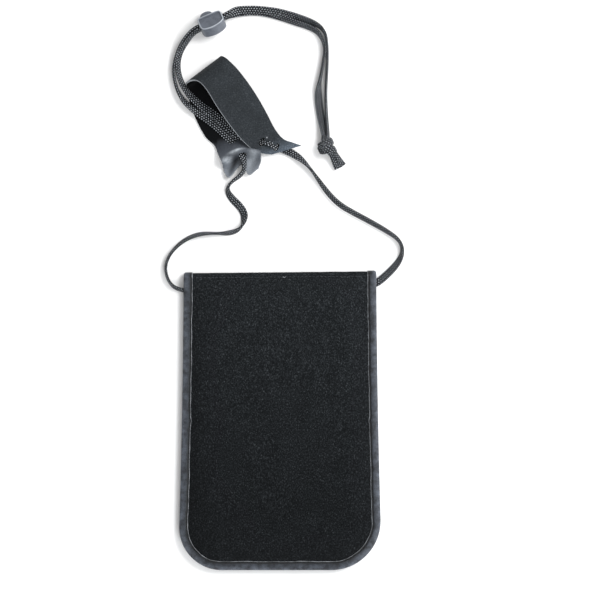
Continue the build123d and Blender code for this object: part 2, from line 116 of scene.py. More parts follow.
# The cord lies flat at its full width, and bunches up rounder where it stands on its edge.
CORD_WIDTH = 5.3 * MM
EDGE_WIDTH = 3.5 * MM
CORD_THICKNESS = 1.25 * MM
EDGE_THICKNESS = 2.0 * MM
BRAID_ROWS = 8
BRAID_PITCH = 1.8 * MM
BRAID_SLANT = 0.45
BRAID_RELIEF = 0.16 * MM


# ---------------------------------------------------------------- materials


def feed(socket, value):
    """Links a Value to an input, or sets the input to a number, an (r, g, b) or a list."""
    if isinstance(value, Value):
        value.tree.links.new(value.socket, socket)
    else:
        socket.default_value = (*value, 1) if isinstance(value, tuple) else value


def add_node(tree, kind, output, inputs, **settings):
    """A node with its settings made and its inputs fed. Returns one of its outputs as a Value."""
    node = tree.nodes.new(kind)
    for name, setting in settings.items():
        setattr(node, name, setting)
    for name, value in inputs.items():
        feed(node.inputs[name], value)
    return Value(tree, node.outputs[output])


class Value:
    """A number or colour worked out in a material. Each sum or product of values makes a Math node."""

    def __init__(self, tree, socket):
        self.tree = tree
        self.socket = socket

    def math(self, operation, *others):
        inputs = dict(enumerate((self, *others)))
        return add_node(self.tree, "ShaderNodeMath", 0, inputs, operation=operation)

    def __add__(self, other):
        return self.math("ADD", other)

    def __sub__(self, other):
        return self.math("SUBTRACT", other)

    def __mul__(self, other):
        return self.math("MULTIPLY", other)

    def __truediv__(self, other):
        return self.math("DIVIDE", other)


class Look:
    """A procedural material being built. Its sizes are in millimetres."""

    def __init__(self, name, roughness, specular=0.1, sheen=0.0):
        self.material = bpy.data.materials.new(name)
        self.material.use_nodes = True
        self.tree = self.material.node_tree
        self.set("Roughness", roughness)
        self.set("Specular IOR Level", specular)
        self.set("Sheen Weight", sheen)
        self.set("Sheen Roughness", 0.5)

    def set(self, name, value):
        feed(self.tree.nodes["Principled BSDF"].inputs[name], value)

    def paint(self, colour):
        self.set("Base Color", colour)

    def bump(self, height, distance, strength):
        inputs = {"Height": height, "Distance": distance * MM, "Strength": strength}
        self.set("Normal", add_node(self.tree, "ShaderNodeBump", "Normal", inputs))

    def place(self):
        """The piece's own coordinates, in metres."""
        return add_node(self.tree, "ShaderNodeTexCoord", "Object", {})

    def steps(self, size, stretch=(1, 1, 1)):
        """The piece's own coordinates, counted in steps of a size."""
        inputs = {"Vector": self.place(), "Scale": [k / (size * MM) for k in stretch]}
        return add_node(self.tree, "ShaderNodeMapping", "Vector", inputs)

    def noise(self, size, detail=2.0, stretch=(1, 1, 1)):
        """Noise with features of about a size."""
        inputs = {"Vector": self.steps(size, stretch), "Scale": 1.0, "Detail": detail, "Roughness": 0.6}
        return add_node(self.tree, "ShaderNodeTexNoise", "Fac", inputs)

    def layer(self, name):
        """The two coordinates of a UV layer."""
        return components(add_node(self.tree, "ShaderNodeUVMap", "UV", {}, uv_map=name))


def components(vector):
    """The X and Y of a vector."""
    node = vector.tree.nodes.new("ShaderNodeSeparateXYZ")
    feed(node.inputs[0], vector)
    return [Value(vector.tree, node.outputs[name]) for name in ("X", "Y")]


def ramp(value, *stops):
    """A colour ramp through (position, (r, g, b)) stops."""
    node = value.tree.nodes.new("ShaderNodeValToRGB")
    elements = node.color_ramp.elements
    while len(elements) < len(stops):
        elements.new(0.5)
    for element, (position, colour) in zip(elements, stops):
        element.position = position
        element.color = (*colour, 1)
    feed(node.inputs["Fac"], value)
    return Value(value.tree, node.outputs["Color"])


def mix(amount, first, second, blend="MIX"):
    """Mixes a colour with another, which may be an (r, g, b)."""
    inputs = {0: amount, 6: first, 7: second}
    return add_node(first.tree, "ShaderNodeMix", 2, inputs, data_type="RGBA", blend_type=blend)


def grey(shade):
    return (shade, shade, shade)


def tinted(colour, amount):
    return tuple(amount * part for part in colour)


def toned(colour, value, dark, light, low=0.3, high=0.7):
    """A colour made dark where a value is low and light where it is high."""
    return mix(1.0, colour, ramp(value, (low, grey(dark)), (high, grey(light))), "MULTIPLY")


def bell(value, middle, width):
    """1 where a value is at its middle, falling to 0 about width to either side."""
    offset = (value - middle) / width
    return (offset * offset * -1.0).math("EXPONENT")


def brushed_fabric():
    """Matt black fabric with a brushed face: fine flecks, and slightly lighter towards the fold and darker
    towards the bottom.
    """
    look = Look("brushed_fabric", 0.95, 0.06, 0.03)
    fibres = look.noise(0.75, 4.0, (1.0, 0.7, 1.0))
    fuzz = look.noise(0.4, 3.0)
    flecks = ramp(
        fibres,
        (0.30, (0.0025, 0.0030, 0.0034)),
        (0.48, (0.0058, 0.0068, 0.0077)),
        (0.60, (0.0135, 0.0155, 0.0172)),
        (0.74, (0.0440, 0.0490, 0.0530)),
    )
    wear_and_highlight = toned(flecks, look.noise(12, 3.0), 0.86, 1.14)
    # Lighter towards the fold and darker towards the bottom, set by the piece's Y.
    towards_fold = components(look.place())[1] * 4.0 + 0.5
    lighter_towards_fold = toned(wear_and_highlight, towards_fold, 0.80, 1.42, 0.25, 0.92)
    look.paint(toned(lighter_towards_fold, fuzz, 0.7, 1.35))
    look.bump(fibres + fuzz, 0.2, 0.7)
    return look.material


def woven_fabric(name, dark, light, pitch, roughness=0.8):
    """Thin plain-weave cloth: threads over and under each other at a pitch."""
    look = Look(name, roughness, 0.12, 0.05)
    across, along = components(look.place())
    turn = math.pi / (pitch * MM)
    height = (across * turn).math("SINE") * (along * turn).math("SINE") * 0.5 + 0.5
    look.paint(toned(ramp(height, (0.1, dark), (0.9, light)), look.noise(6), 0.8, 1.15))
    look.bump(height, pitch * 0.25, 0.7)
    return look.material


def edge_tape():
    """Ribbed tape with painted shade in its sewn groove and painted highlights on its inner lip and rolled
    outer edge. Its UV: along it, and 0 to 1 across.
    """
    look = Look("binding_tape", 0.48, 0.28, 0.08)
    along, across = look.layer("tape")
    ribs = (along * (2 * math.pi / RIB_PITCH)).math("SINE")
    rubbed_and_highlit = look.noise(4.2, 4.0)
    grain = look.noise(0.7, 3.0)
    # Painted light across the tape: a painted highlight on the pale inner lip, painted shade in the dark sewn
    # groove, and a painted highlight growing towards the rolled outer edge.
    lit_and_shaded_bands = ramp(
        across,
        (0.000, (0.170, 0.180, 0.195)),
        (0.060, (0.210, 0.222, 0.238)),
        (0.085, (0.003, 0.004, 0.005)),
        (0.260, (0.003, 0.004, 0.005)),
        (0.310, (0.014, 0.017, 0.022)),
        (0.450, (0.028, 0.033, 0.042)),
        (0.700, (0.048, 0.055, 0.068)),
        (1.000, (0.080, 0.089, 0.106)),
    )
    # The random mottling is the tape's own tone, laid over the painted light bands.
    wear_and_highlight = toned(lit_and_shaded_bands, rubbed_and_highlit, 0.42, 1.5, 0.36, 0.64)
    look.paint(toned(wear_and_highlight, grain, 0.72, 1.3))
    look.bump(ribs * 0.25 + rubbed_and_highlit + grain, 0.3, 0.7)
    return look.material


def braid():
    """Flat black braid: rows of short slanted pale stitches. Its UV: metres along it, and rows round it."""
    look = Look("cord_braid", 0.6, 0.12, 0.05)
    along, rows = look.layer("braid")
    row = rows.math("FLOOR")
    inside = rows - row
    odd = row.math("FLOORED_MODULO", 2.0)
    lean = (inside - 0.5) * (odd * 2.0 - 1.0) * BRAID_SLANT
    wave = ((along / BRAID_PITCH + odd * 0.5 + lean) * (2 * math.pi)).math("COSINE")
    arch = (inside * math.pi).math("SINE")
    stitch = (wave * 0.5 + 0.5) * arch.math("POWER", 1.1)
    lit = stitch + look.noise(2.2, 3.0) * 0.7 - 0.35
    colour = ramp(
        lit,
        (0.33, (0.0036, 0.0043, 0.0055)),
        (0.53, (0.0140, 0.0165, 0.0200)),
        (0.71, (0.1200, 0.1310, 0.1480)),
        (0.96, (0.4350, 0.4620, 0.4950)),
    )
    look.paint(colour)
    look.bump(lit, 0.12, 0.7)
    return look.material


def napped(look, dark, middle, pale):
    """A short suede nap in three shades. Returns its colour."""
    nap = look.noise(0.8, 4.0)
    look.bump(nap, 0.18, 0.6)
    return toned(ramp(nap, (0.32, dark), (0.56, middle), (0.76, pale)), look.noise(10, 3.0), 0.84, 1.16)


def cut_suede():
    """The pad's cut edges: pale, with a short nap."""
    look = Look("pad_cut_edge", 0.6, 0.12, 0.06)
    look.paint(napped(look, tinted(CUT_COLOUR, 0.6), CUT_COLOUR, (0.5, 0.52, 0.54)))
    return look.material


def pad_lining():
    """The pad's smooth inner face: black, with a painted sheen that makes it pale at its curled end.

    Its UV goes from 0 to 1 along the strip and across it. The end's crest gets the strongest painted
    highlight, its left fold and right lobe get painted highlights too, and painted shade keeps the hollows of
    its two lobes dark.
    """
    look = Look("pad_lining", 0.5)
    along, across = look.layer("pad")
    streaks = look.noise(3.5, 3.0, (1.0, 0.35, 1.0))
    grain = look.noise(0.6, 3.0)
    place = along + (streaks * 0.05 - 0.025)
    # Painted sheen: pale at the curled end, where the smooth face catches the light, near black along the
    # rest, and slightly paler at the upper leaf's tip.
    base = ramp(
        place,
        (0.00, (0.150, 0.166, 0.188)),
        (0.045, (0.080, 0.091, 0.108)),
        (0.090, (0.060, 0.068, 0.082)),
        (0.125, (0.034, 0.039, 0.048)),
        (0.160, (0.0040, 0.0045, 0.0052)),
        (0.90, (0.0022, 0.0024, 0.0028)),
        (1.00, (0.0200, 0.0230, 0.0270)),
    )
    look.set("Specular IOR Level", ramp(place, (0.11, grey(0.25)), (0.17, grey(0.03))))
    # Painted shade in the hollows of the two lobes, and painted highlights on the end's crest, its left fold
    # and its right lobe.
    left_hollow = bell(along, 0.046, 0.028) * bell(across, 0.34, 0.13)
    right_hollow = bell(along, 0.056, 0.016) * bell(across, 0.74, 0.16)
    hollow_shade = left_hollow.math("MAXIMUM", right_hollow * 0.2)
    crest = bell(along, 0.080, 0.007) * bell(across, 0.42, 0.16)
    right_lobe = bell(along, 0.042, 0.034) * bell(across, 0.78, 0.12)
    left_fold = bell(along, 0.062, 0.012) * bell(across, 0.14, 0.10)
    wear_and_highlight = crest.math("MAXIMUM", left_fold.math("MAXIMUM", right_lobe * 0.62))
    shaded = mix(hollow_shade, base, (0.006, 0.007, 0.009))
    rubbed_and_highlit = mix(wear_and_highlight * streaks, shaded, (0.62, 0.67, 0.72))
    look.paint(toned(rubbed_and_highlit, grain, 0.8, 1.2))
    look.bump(streaks + grain, 0.2, 0.5)
    return look.material


def pad_face():
    """The pad's outer face: dark grey suede, paler at its tip and its left edge. Its UV is the lining's."""
    look = Look("pad_suede", 0.85, 0.12, 0.05)
    along, across = look.layer("pad")
    face = napped(look, (0.013, 0.016, 0.019), (0.0245, 0.0285, 0.0325), (0.052, 0.057, 0.063))
    rubbed_and_highlit = ramp(along, (0.0, (1.5, 1.55, 1.6)), (0.12, grey(1)), (0.91, grey(1)), (0.99, (3.6, 3.8, 4.1)))
    look.paint(mix(bell(across, 0.0, 0.011), mix(1.0, face, rubbed_and_highlit, "MULTIPLY"), CUT_COLOUR))
    return look.material


def moulded_plastic(name, colour, roughness, rim=None):
    """Satin moulded plastic with a fine texture and handling marks. A painted highlight colour, rim, follows
    the UV layer rim.
    """
    look = Look(name, roughness, 0.5)
    marks = look.noise(3.5, 4.0)
    base = ramp(marks, (0.3, tinted(colour, 0.78)), (0.7, tinted(colour, 1.2)))
    look.paint(mix(look.layer("rim")[0], base, rim) if rim else base)
    look.set("Roughness", marks * 0.2 + (roughness - 0.1))
    look.bump(look.noise(0.5), 0.06, 0.5)
    return look.material


def metal(name, colour, roughness):
    """Plated metal with fine wear."""
    look = Look(name, roughness, 0.5)
    wear = look.noise(1.2, 4.0)
    look.set("Metallic", 1.0)
    look.paint(ramp(wear, (0.35, tinted(colour, 0.7)), (0.7, colour)))
    look.set("Roughness", wear * 0.2 + (roughness - 0.1))
    look.bump(wear, 0.03, 0.5)
    return look.material


def fuzzy_tape(name, dark, light, size):
    """Nylon of hook-and-loop tape, uneven from tuft to tuft."""
    look = Look(name, 0.75, 0.2, 0.1)
    inputs = {"Vector": look.steps(size), "Scale": 1.0}
    tufts = add_node(look.tree, "ShaderNodeTexVoronoi", "Distance", inputs)
    look.paint(ramp(tufts, (0.1, light), (0.7, dark)))
    look.bump(tufts, -size * 0.5, 0.8)
    return look.material


def painted_table():
    """The white table top, with the faintest grain."""
    look = Look("table_white", 0.9)
    look.paint(ramp(look.noise(20), (0.3, grey(0.93)), (0.7, grey(0.95))))
    return look.material


CUT_COLOUR = (0.30, 0.32, 0.34)
MATERIALS = {
    "panel": brushed_fabric(),
    "lining": woven_fabric("lining_weave", (0.008, 0.009, 0.010), (0.036, 0.039, 0.044), 0.5, 0.6),
    "hem": woven_fabric("hem_weave", (0.022, 0.025, 0.030), (0.085, 0.094, 0.108), 0.4, 0.6),
    "zip_tape": woven_fabric("zip_tape_weave", (0.008, 0.0085, 0.0095), (0.034, 0.036, 0.040), 0.35),
    "thread": woven_fabric("sewing_thread", (0.010, 0.011, 0.013), (0.045, 0.05, 0.055), 0.3),
    "pale_thread": woven_fabric("top_thread", (0.028, 0.031, 0.034), (0.075, 0.081, 0.088), 0.3),
    "tape": edge_tape(),
    "braid": braid(),
    "pad": pad_face(),
    "pad_lining": pad_lining(),
    "pad_edge": cut_suede(),
    # The lock's last colour is the painted highlight on its rounded rim.
    "plastic": moulded_plastic("lock_plastic", (0.098, 0.110, 0.134), 0.36, (0.36, 0.39, 0.43)),
    "teeth": moulded_plastic("zip_nylon", (0.014, 0.014, 0.016), 0.35),
    "zip_metal": metal("zip_nickel", (0.21, 0.215, 0.23), 0.42),
    "steel": metal("spring_steel", (0.6, 0.6, 0.62), 0.25),
    "hook": fuzzy_tape("hook_nylon", (0.006, 0.006, 0.007), (0.05, 0.05, 0.055), 1.1),
    "loop": fuzzy_tape("loop_nylon", (0.009, 0.009, 0.010), (0.040, 0.041, 0.045), 0.9),
    "table": painted_table(),
}


# ---------------------------------------------------------------- mesh helpers


def make_piece(name, points, faces, materials, body, slot, replaces=(), layers=(), kinds=None, sharp=50):
    """A mesh piece. kinds are one material index per face.

    layers are (UV layer name, one (u, v) per point, the length after which v repeats or 0).
    """
    points = np.asarray(points, float)
    used = np.unique(np.concatenate([np.ravel(f) for f in faces]))
    renumber = np.zeros(len(points), int)
    renumber[used] = np.arange(len(used))
    mesh = bpy.data.meshes.new(name)
    mesh.from_pydata(points[used].tolist(), [], [renumber[np.asarray(f)].tolist() for f in faces])
    for material in materials:
        mesh.materials.append(MATERIALS[material])
    if kinds is not None:
        mesh.polygons.foreach_set("material_index", np.asarray(kinds, np.int32))
    corners = np.empty(len(mesh.loops), np.int32)
    mesh.loops.foreach_get("vertex_index", corners)
    sizes = [len(f) for f in faces]
    starts = np.concatenate([[0], np.cumsum(sizes)[:-1]])
    for layer_name, values, period in layers:
        placed = np.asarray(values, float)[used][corners]
        if period:
            highest = np.repeat(np.maximum.reduceat(placed[:, 1], starts), sizes)
            placed[:, 1] += np.where(highest - placed[:, 1] > period / 2, period, 0)
        mesh.uv_layers.new(name=layer_name).data.foreach_set("uv", placed.ravel())
    mesh.polygons.foreach_set("use_smooth", [True] * len(mesh.polygons))
    mesh.update()
    mesh.set_sharp_from_angle(angle=math.radians(sharp))
    piece = bpy.data.objects.new(name, mesh)
    bpy.context.scene.collection.objects.link(piece)
    if body:
        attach(piece, body)
    if replaces:
        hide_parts(*replaces)
    return piece


def grid_faces(rows, columns, wrap=False):
    """Quads of a grid of points stored row by row. wrap joins the last column to the first."""
    r, c = np.meshgrid(np.arange(rows - 1), np.arange(columns if wrap else columns - 1), indexing="ij")
    r, c = r.ravel(), c.ravel()
    d = (c + 1) % columns
    return np.stack([r * columns + c, r * columns + d, (r + 1) * columns + d, (r + 1) * columns + c], 1)


def capped_faces(rows, columns, first=0):
    """Faces of a closed skin through rings of points, the first of which has this number."""
    faces = (grid_faces(rows, columns, wrap=True) + first).tolist()
    faces.append([first + c for c in range(columns)][::-1])
    faces.append([first + (rows - 1) * columns + c for c in range(columns)])
    return faces


def tube(name, rings, materials, body, slot, **placing):
    """A closed skin through rings of points, capped at both ends."""
    faces = capped_faces(*rings.shape[:2])
    return make_piece(name, rings.reshape(-1, 3), faces, materials, body, slot, **placing)


def thick_sheet(name, over, under, materials, body, slot, keep=None, layers=(), **placing):
    """A closed sheet between two grids of points: its face, its back and its cut edges.

    keep marks the quads that aren't cut away. materials are those of the face, the back and the outer
    edges. The edges of its cut-outs are like its face.
    """
    rows, columns = over.shape[:2]
    count = rows * columns
    quads = grid_faces(rows, columns)
    if keep is not None:
        quads = quads[keep.ravel()]
    edges = np.concatenate([quads[:, [k, (k + 1) % 4]] for k in range(4)])
    inner = np.isin(edges[:, 0] * count + edges[:, 1], edges[:, 1] * count + edges[:, 0])
    start, end = edges[~inner].T
    sides = np.stack([end, start, start + count, end + count], 1)
    faces = np.concatenate([quads, quads[:, ::-1] + count, sides])
    border = np.isin(start // columns, (0, rows - 1)) | np.isin(start % columns, (0, columns - 1))
    kinds = np.repeat([0, min(1, len(materials) - 1)], len(quads))
    kinds = np.concatenate([kinds, np.where(border, len(materials) - 1, 0)])
    points = np.concatenate([over.reshape(-1, 3), under.reshape(-1, 3)])
    doubled = [(layer, np.concatenate([values, values]), 0) for layer, values in layers]
    return make_piece(name, points, faces, materials, body, slot, layers=doubled, kinds=kinds, **placing)


def catmull_weights(places, count):
    """Weights of count even points on a smooth line through them, at places from 0 to 1."""
    along = np.clip(places, 0, 1) * (count - 1)
    first = np.clip(np.floor(along).astype(int), 0, count - 2)
    f = along - first
    before, start = -f + 2 * f**2 - f**3, 2 - 5 * f**2 + 3 * f**3
    end, after = f + 4 * f**2 - 3 * f**3, f**3 - f**2
    weights = np.zeros((len(along), count + 2))
    rows = np.arange(len(along))
    for k, part in enumerate((before, start, end, after)):
        weights[rows, first + k] += part / 2
    inside = weights[:, 1:-1]
    inside[:, 0] += 2 * weights[:, 0]
    inside[:, 1] -= weights[:, 0]
    inside[:, -1] += 2 * weights[:, -1]
    inside[:, -2] -= weights[:, -1]
    return inside


def unit(vectors):
    return vectors / np.linalg.norm(vectors, axis=-1, keepdims=True)


def uv_points(u, v):
    """One (u, v) per point of a grid, row by row."""
    return np.stack(np.broadcast_arrays(u, v), -1).reshape(-1, 2)


def at_places(places, far, line):
    """Points of a line at given distances along it."""
    return np.stack([np.interp(places, far, line[:, k]) for k in range(3)], 1)


def ripple(s, *waves):
    """A sum of sines of s, each given as (wavelength, height, phase)."""
    return sum(height * np.sin(2 * np.pi * s / length + phase) for length, height, phase in waves)


def ease(low, high, value):
    t = np.clip((value - low) / (high - low), 0, 1)
    return t * t * (3 - 2 * t)


def distances(points):
    """How far along a line each of its points is."""
    return np.concatenate([[0], np.cumsum(np.linalg.norm(np.diff(points, axis=0), axis=1))])


# ---------------------------------------------------------------- camera, lights and table

VIEW_CENTRE = (0.0134, 0.0809)
VIEW_WIDTH = 0.4026
CAMERA_HEIGHT = 2.2
MIDDLE = (0, 0.06, 0)
TABLE_HALF = 3.0
STUDIO_STRENGTH = 0.47


def area_light(name, position, size, watts, colour=(1, 1, 1)):
    """A square soft light that faces the object."""
    data = bpy.data.lights.new(name, "AREA")
    data.size = size
    data.energy = watts
    data.color = colour
    lamp = bpy.data.objects.new(name, data)
    lamp.location = position
    lamp.rotation_euler = (Vector(MIDDLE) - Vector(position)).to_track_quat("-Z", "Y").to_euler()
    bpy.context.scene.collection.objects.link(lamp)


def make_stage():
    """The overhead camera, the studio light and the white table."""
    scene = bpy.context.scene
    data = bpy.data.cameras.new("camera")
    data.sensor_width = 36.0
    data.lens = data.sensor_width * CAMERA_HEIGHT / VIEW_WIDTH
    camera = bpy.data.objects.new("camera", data)
    camera.location = (*VIEW_CENTRE, CAMERA_HEIGHT)
    scene.collection.objects.link(camera)
    scene.camera = camera
    area_light("key", (1.0, 0.75, 1.05), 0.95, 29.0)
    area_light("front", (0.45, -1.1, 0.8), 0.7, 13.0, (0.96, 0.98, 1.0))
    area_light("top", (0.0, 0.1, 2.4), 1.2, 6.0)
    world = bpy.data.worlds.new("studio")
    world.use_nodes = True
    background = world.node_tree.nodes["Background"].inputs
    background["Color"].default_value = (1, 1, 1, 1)
    background["Strength"].default_value = STUDIO_STRENGTH
    scene.world = world
    scene.view_settings.view_transform = "Standard"
    corners = [(x * TABLE_HALF, y * TABLE_HALF, 0) for x, y in ((-1, -1), (1, -1), (1, 1), (-1, 1))]
    mesh = bpy.data.meshes.new("table")
    mesh.from_pydata(corners, [], [(0, 1, 2, 3)])
    mesh.materials.append(MATERIALS["table"])
    table = bpy.data.objects.new("table", mesh)
    scene.collection.objects.link(table)
    table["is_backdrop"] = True


make_stage()


# ---------------------------------------------------------------- cords

# The lock's place and tilt, which its straight stretch of cord follows
LOCK_CENTRE = np.array((-45.6, 266.0, 7.6)) * MM
LOCK_TURN = math.radians(22.15)
LOCK_TILT = math.radians(35)
LOCK_ALONG = np.array((math.cos(LOCK_TURN), math.sin(LOCK_TURN), 0))
LOCK_ACROSS = np.array((-math.sin(LOCK_TURN), math.cos(LOCK_TURN), 0))
LOCK_FACE = LOCK_ACROSS * math.sin(LOCK_TILT) + np.array((0, 0, math.cos(LOCK_TILT)))
LOCK_PLUNGE = LOCK_ACROSS * math.cos(LOCK_TILT) - np.array((0, 0, math.sin(LOCK_TILT)))
LOCK_ROLL = 125


def lock_point(along, across, facing):
    """A point in the lock's own frame: along the cord, across it, and out of the lock's face."""
    return LOCK_CENTRE + LOCK_ALONG * along + LOCK_PLUNGE * across + LOCK_FACE * facing


def strand_point(along, across, facing, roll=LOCK_ROLL):
    """A point of a cord's route at the lock, in millimetres, with its roll."""
    return (*(lock_point(along * MM, across * MM, facing * MM) / MM), roll)


# Each point in millimetres: x, y and the height of the cord's middle, then its roll in degrees:
# 0 and 180 lie flat, and 90 stands on its edge.
LEFT_ROUTE = [
    (-64.4, 87.4, 2.4, 60), (-69.2, 88.2, 2.4, 62), (-73.8, 92.0, 2.5, 72), (-76.2, 97.6, 2.5, 84),
    (-76.8, 103.4, 2.5, 88), (-74.8, 109.6, 2.5, 78), (-71.2, 114.9, 2.5, 70), (-65.4, 120.2, 2.5, 62),
    (-59.3, 123.5, 2.5, 58), (-52.6, 125.4, 2.5, 58), (-46.4, 125.6, 2.5, 72), (-41.0, 125.5, 2.5, 100),
    (-35.4, 125.6, 2.2, 128), (-29.8, 126.8, 2.2, 128), (-26.0, 129.4, 2.5, 100), (-24.0, 133.6, 1.9, 45),
    (-23.8, 139.0, 0.9, 12), (-27.2, 144.0, 0.8, 10), (-31.8, 148.3, 0.9, 16), (-35.0, 152.8, 1.8, 42),
    (-35.0, 157.0, 2.5, 75), (-31.8, 160.6, 2.6, 105), (-27.4, 163.5, 2.8, 116), (-24.2, 167.0, 3.2, 118),
    (-23.6, 171.8, 3.4, 124), (-25.0, 176.6, 3.0, 150), (-26.4, 180.6, 1.7, 176),
    (-28.6, 184.2, 0.8, 180), (-31.8, 187.2, 1.5, 180), (-36.7, 191.6, 2.1, 180),
    (-41.9, 196.7, 2.0, 180), (-47.2, 201.0, 2.0, 176), (-53.2, 205.0, 2.3, 165),
    (-59.2, 209.4, 2.5, 148), (-64.6, 214.3, 2.6, 130), (-68.4, 220.4, 2.5, 112), (-70.6, 227.4, 2.5, 98),
    (-71.6, 234.3, 2.5, 94), (-70.6, 241.5, 2.5, 96), (-68.3, 248.3, 3.0, 104), (-64.6, 254.9, 4.4, 114),
    strand_point(-13, 0.66, 0.6), strand_point(-4, 0.66, 0.6), strand_point(6, 0.78, 1.0),
    strand_point(12.5, 1.25, 1.1, 130), (-29.6, 274.7, 5.2, 166), (-24.4, 275.3, 3.9, 180),
    (-17.0, 275.5, 3.4, 180), (-9.6, 274.9, 3.1, 174), (-2.6, 274.1, 3.1, 162), (4.0, 272.7, 3.0, 152),
    (10.4, 271.0, 2.8, 146), (16.6, 268.9, 2.7, 142), (22.6, 266.6, 2.6, 136), (27.6, 263.6, 2.5, 116),
    (30.4, 259.4, 2.5, 98), (31.0, 256.4, 2.5, 88), (31.7, 249.6, 2.5, 92), (31.7, 242.0, 2.5, 92),
    (31.4, 233.0, 2.5, 88), (30.8, 224.0, 2.5, 85), (30.7, 215.0, 2.4, 76), (31.1, 206.0, 2.4, 72),
    (31.8, 197.0, 2.6, 72), (32.3, 190.4, 3.4, 72), (32.0, 186.2, 4.2, 72),
]
RIGHT_ROUTE = [
    (63.4, 92.1, 1.7, 8), (65.4, 92.8, 1.6, 10), (69.4, 95.8, 1.5, 14), (75.2, 101.3, 1.6, 20),
    (79.6, 106.6, 1.9, 36), (82.0, 112.0, 2.3, 60), (81.8, 117.4, 2.5, 74), (78.6, 122.3, 2.5, 66),
    (71.6, 127.0, 2.6, 56), (63.2, 131.8, 2.8, 50), (56.0, 135.7, 2.9, 48), (48.6, 139.6, 2.9, 46),
    (41.2, 143.8, 2.9, 44), (34.9, 149.3, 2.8, 46), (29.4, 156.1, 2.6, 52), (24.9, 162.6, 2.5, 66),
    (20.8, 168.4, 2.6, 92), (16.0, 173.8, 2.3, 128), (10.6, 178.0, 1.4, 160), (4.8, 180.8, 0.9, 176),
    (0.2, 182.6, 2.2, 170), (-3.2, 184.1, 4.9, 152), (-7.4, 185.9, 6.3, 142), (-11.4, 187.5, 4.6, 152),
    (-15.4, 188.5, 2.2, 172), (-21.6, 189.2, 2.0, 180), (-28.4, 191.2, 2.0, 180),
    (-34.4, 196.2, 2.0, 180), (-39.6, 201.4, 2.0, 180), (-44.8, 205.5, 2.0, 178),
    (-50.6, 209.4, 2.1, 172), (-56.6, 214.0, 2.7, 160), (-61.6, 219.2, 2.9, 146),
    (-65.1, 224.5, 2.6, 138), (-67.2, 229.8, 2.4, 134), (-68.4, 235.6, 2.4, 132),
    (-68.3, 241.5, 2.4, 130), (-66.5, 247.6, 2.7, 128), (-62.8, 253.7, 4.0, 126),
    strand_point(-13, -0.66, -0.5), strand_point(-4, -0.66, -0.5), strand_point(6, -0.54, 0.2),
    strand_point(12.5, -0.15, 0.7, 130), (-29.4, 273.1, 3.6, 166), (-24.2, 274.0, 2.0, 180),
    (-17.0, 274.4, 1.4, 180), (-9.4, 273.5, 1.4, 178), (-2.6, 271.6, 1.9, 160), (4.0, 269.2, 2.4, 142),
    (10.4, 266.8, 2.4, 140), (16.6, 265.0, 2.4, 138), (22.4, 262.6, 2.5, 134), (26.6, 259.2, 2.6, 122),
    (29.6, 252.6, 2.5, 100), (30.0, 246.6, 2.5, 92), (28.9, 240.4, 2.5, 90), (27.6, 232.6, 2.5, 84),
    (26.2, 225.0, 2.3, 58), (25.7, 218.6, 1.6, 20), (26.1, 212.4, 1.3, 8), (27.1, 205.6, 1.3, 6),
    (28.4, 198.8, 1.7, 14), (30.0, 192.0, 3.0, 30), (30.8, 187.0, 4.0, 40),
]
# The two tails past the knot
TAIL_ROUTES = [
    [(33.0, 181.6, 4.2, 20), (34.7, 178.0, 3.4, 14), (36.5, 173.6, 2.4, 8), (38.7, 169.0, 1.5, 4)],
    [(34.6, 182.6, 4.6, 20), (36.7, 179.4, 3.7, 14), (39.3, 175.2, 2.6, 8), (42.4, 171.0, 1.8, 4)],
]


def spline_points(points):
    """Points of the smooth NURBS line that has the given control points, in order."""
    curve = bpy.data.curves.new("route", "CURVE")
    curve.dimensions = "3D"
    curve.resolution_u = 16
    spline = curve.splines.new("NURBS")
    spline.points.add(len(points) - 1)
    for point, position in zip(spline.points, points):
        point.co = (*position, 1)
    spline.order_u = 3
    spline.use_endpoint_u = True
    line = bpy.data.objects.new("route", curve)
    bpy.context.scene.collection.objects.link(line)
    bpy.context.view_layer.update()
    mesh = bpy.data.meshes.new_from_object(line)
    smooth = np.array([v.co for v in mesh.vertices], float)
    bpy.data.objects.remove(line)
    bpy.data.meshes.remove(mesh)
    return smooth


def cord_line(route, step):
    """A route's smooth line at even steps, with its roll in radians at each point."""
    line = spline_points([(x * MM, y * MM, z * MM) for x, y, z, roll in route])
    rolls = spline_points([(math.radians(roll), 0, 0) for x, y, z, roll in route])[:, 0]
    far = distances(line)
    steps = np.linspace(0, far[-1], int(far[-1] / step) + 1)
    return at_places(steps, far, line), np.interp(steps, far, rolls)


def rolled_side(line, rolls):
    """The direction across a flat cord's width at each point of its line."""
    tangents = unit(np.gradient(line, axis=0))
    level = unit(np.cross(tangents, (0, 0, 1)))
    upright = np.cross(level, tangents)
    return level * np.cos(rolls)[:, None] + upright * np.sin(rolls)[:, None]


def braid_relief(along, rows):
    """How proud each point of the braid stands, from 0 to 1: rows of short slanted stitches."""
    row = np.floor(rows)
    inside = rows - row
    odd = row % 2
    lean = (inside - 0.5) * (2 * odd - 1) * BRAID_SLANT
    wave = np.cos(2 * np.pi * (along / BRAID_PITCH + odd / 2 + lean))
    return (wave * 0.5 + 0.5) * np.sin(np.pi * inside)


def squared(wave, power):
    """A sine or cosine made to bulge, for an oval with squarer corners."""
    return np.sign(wave) * np.abs(wave) ** power


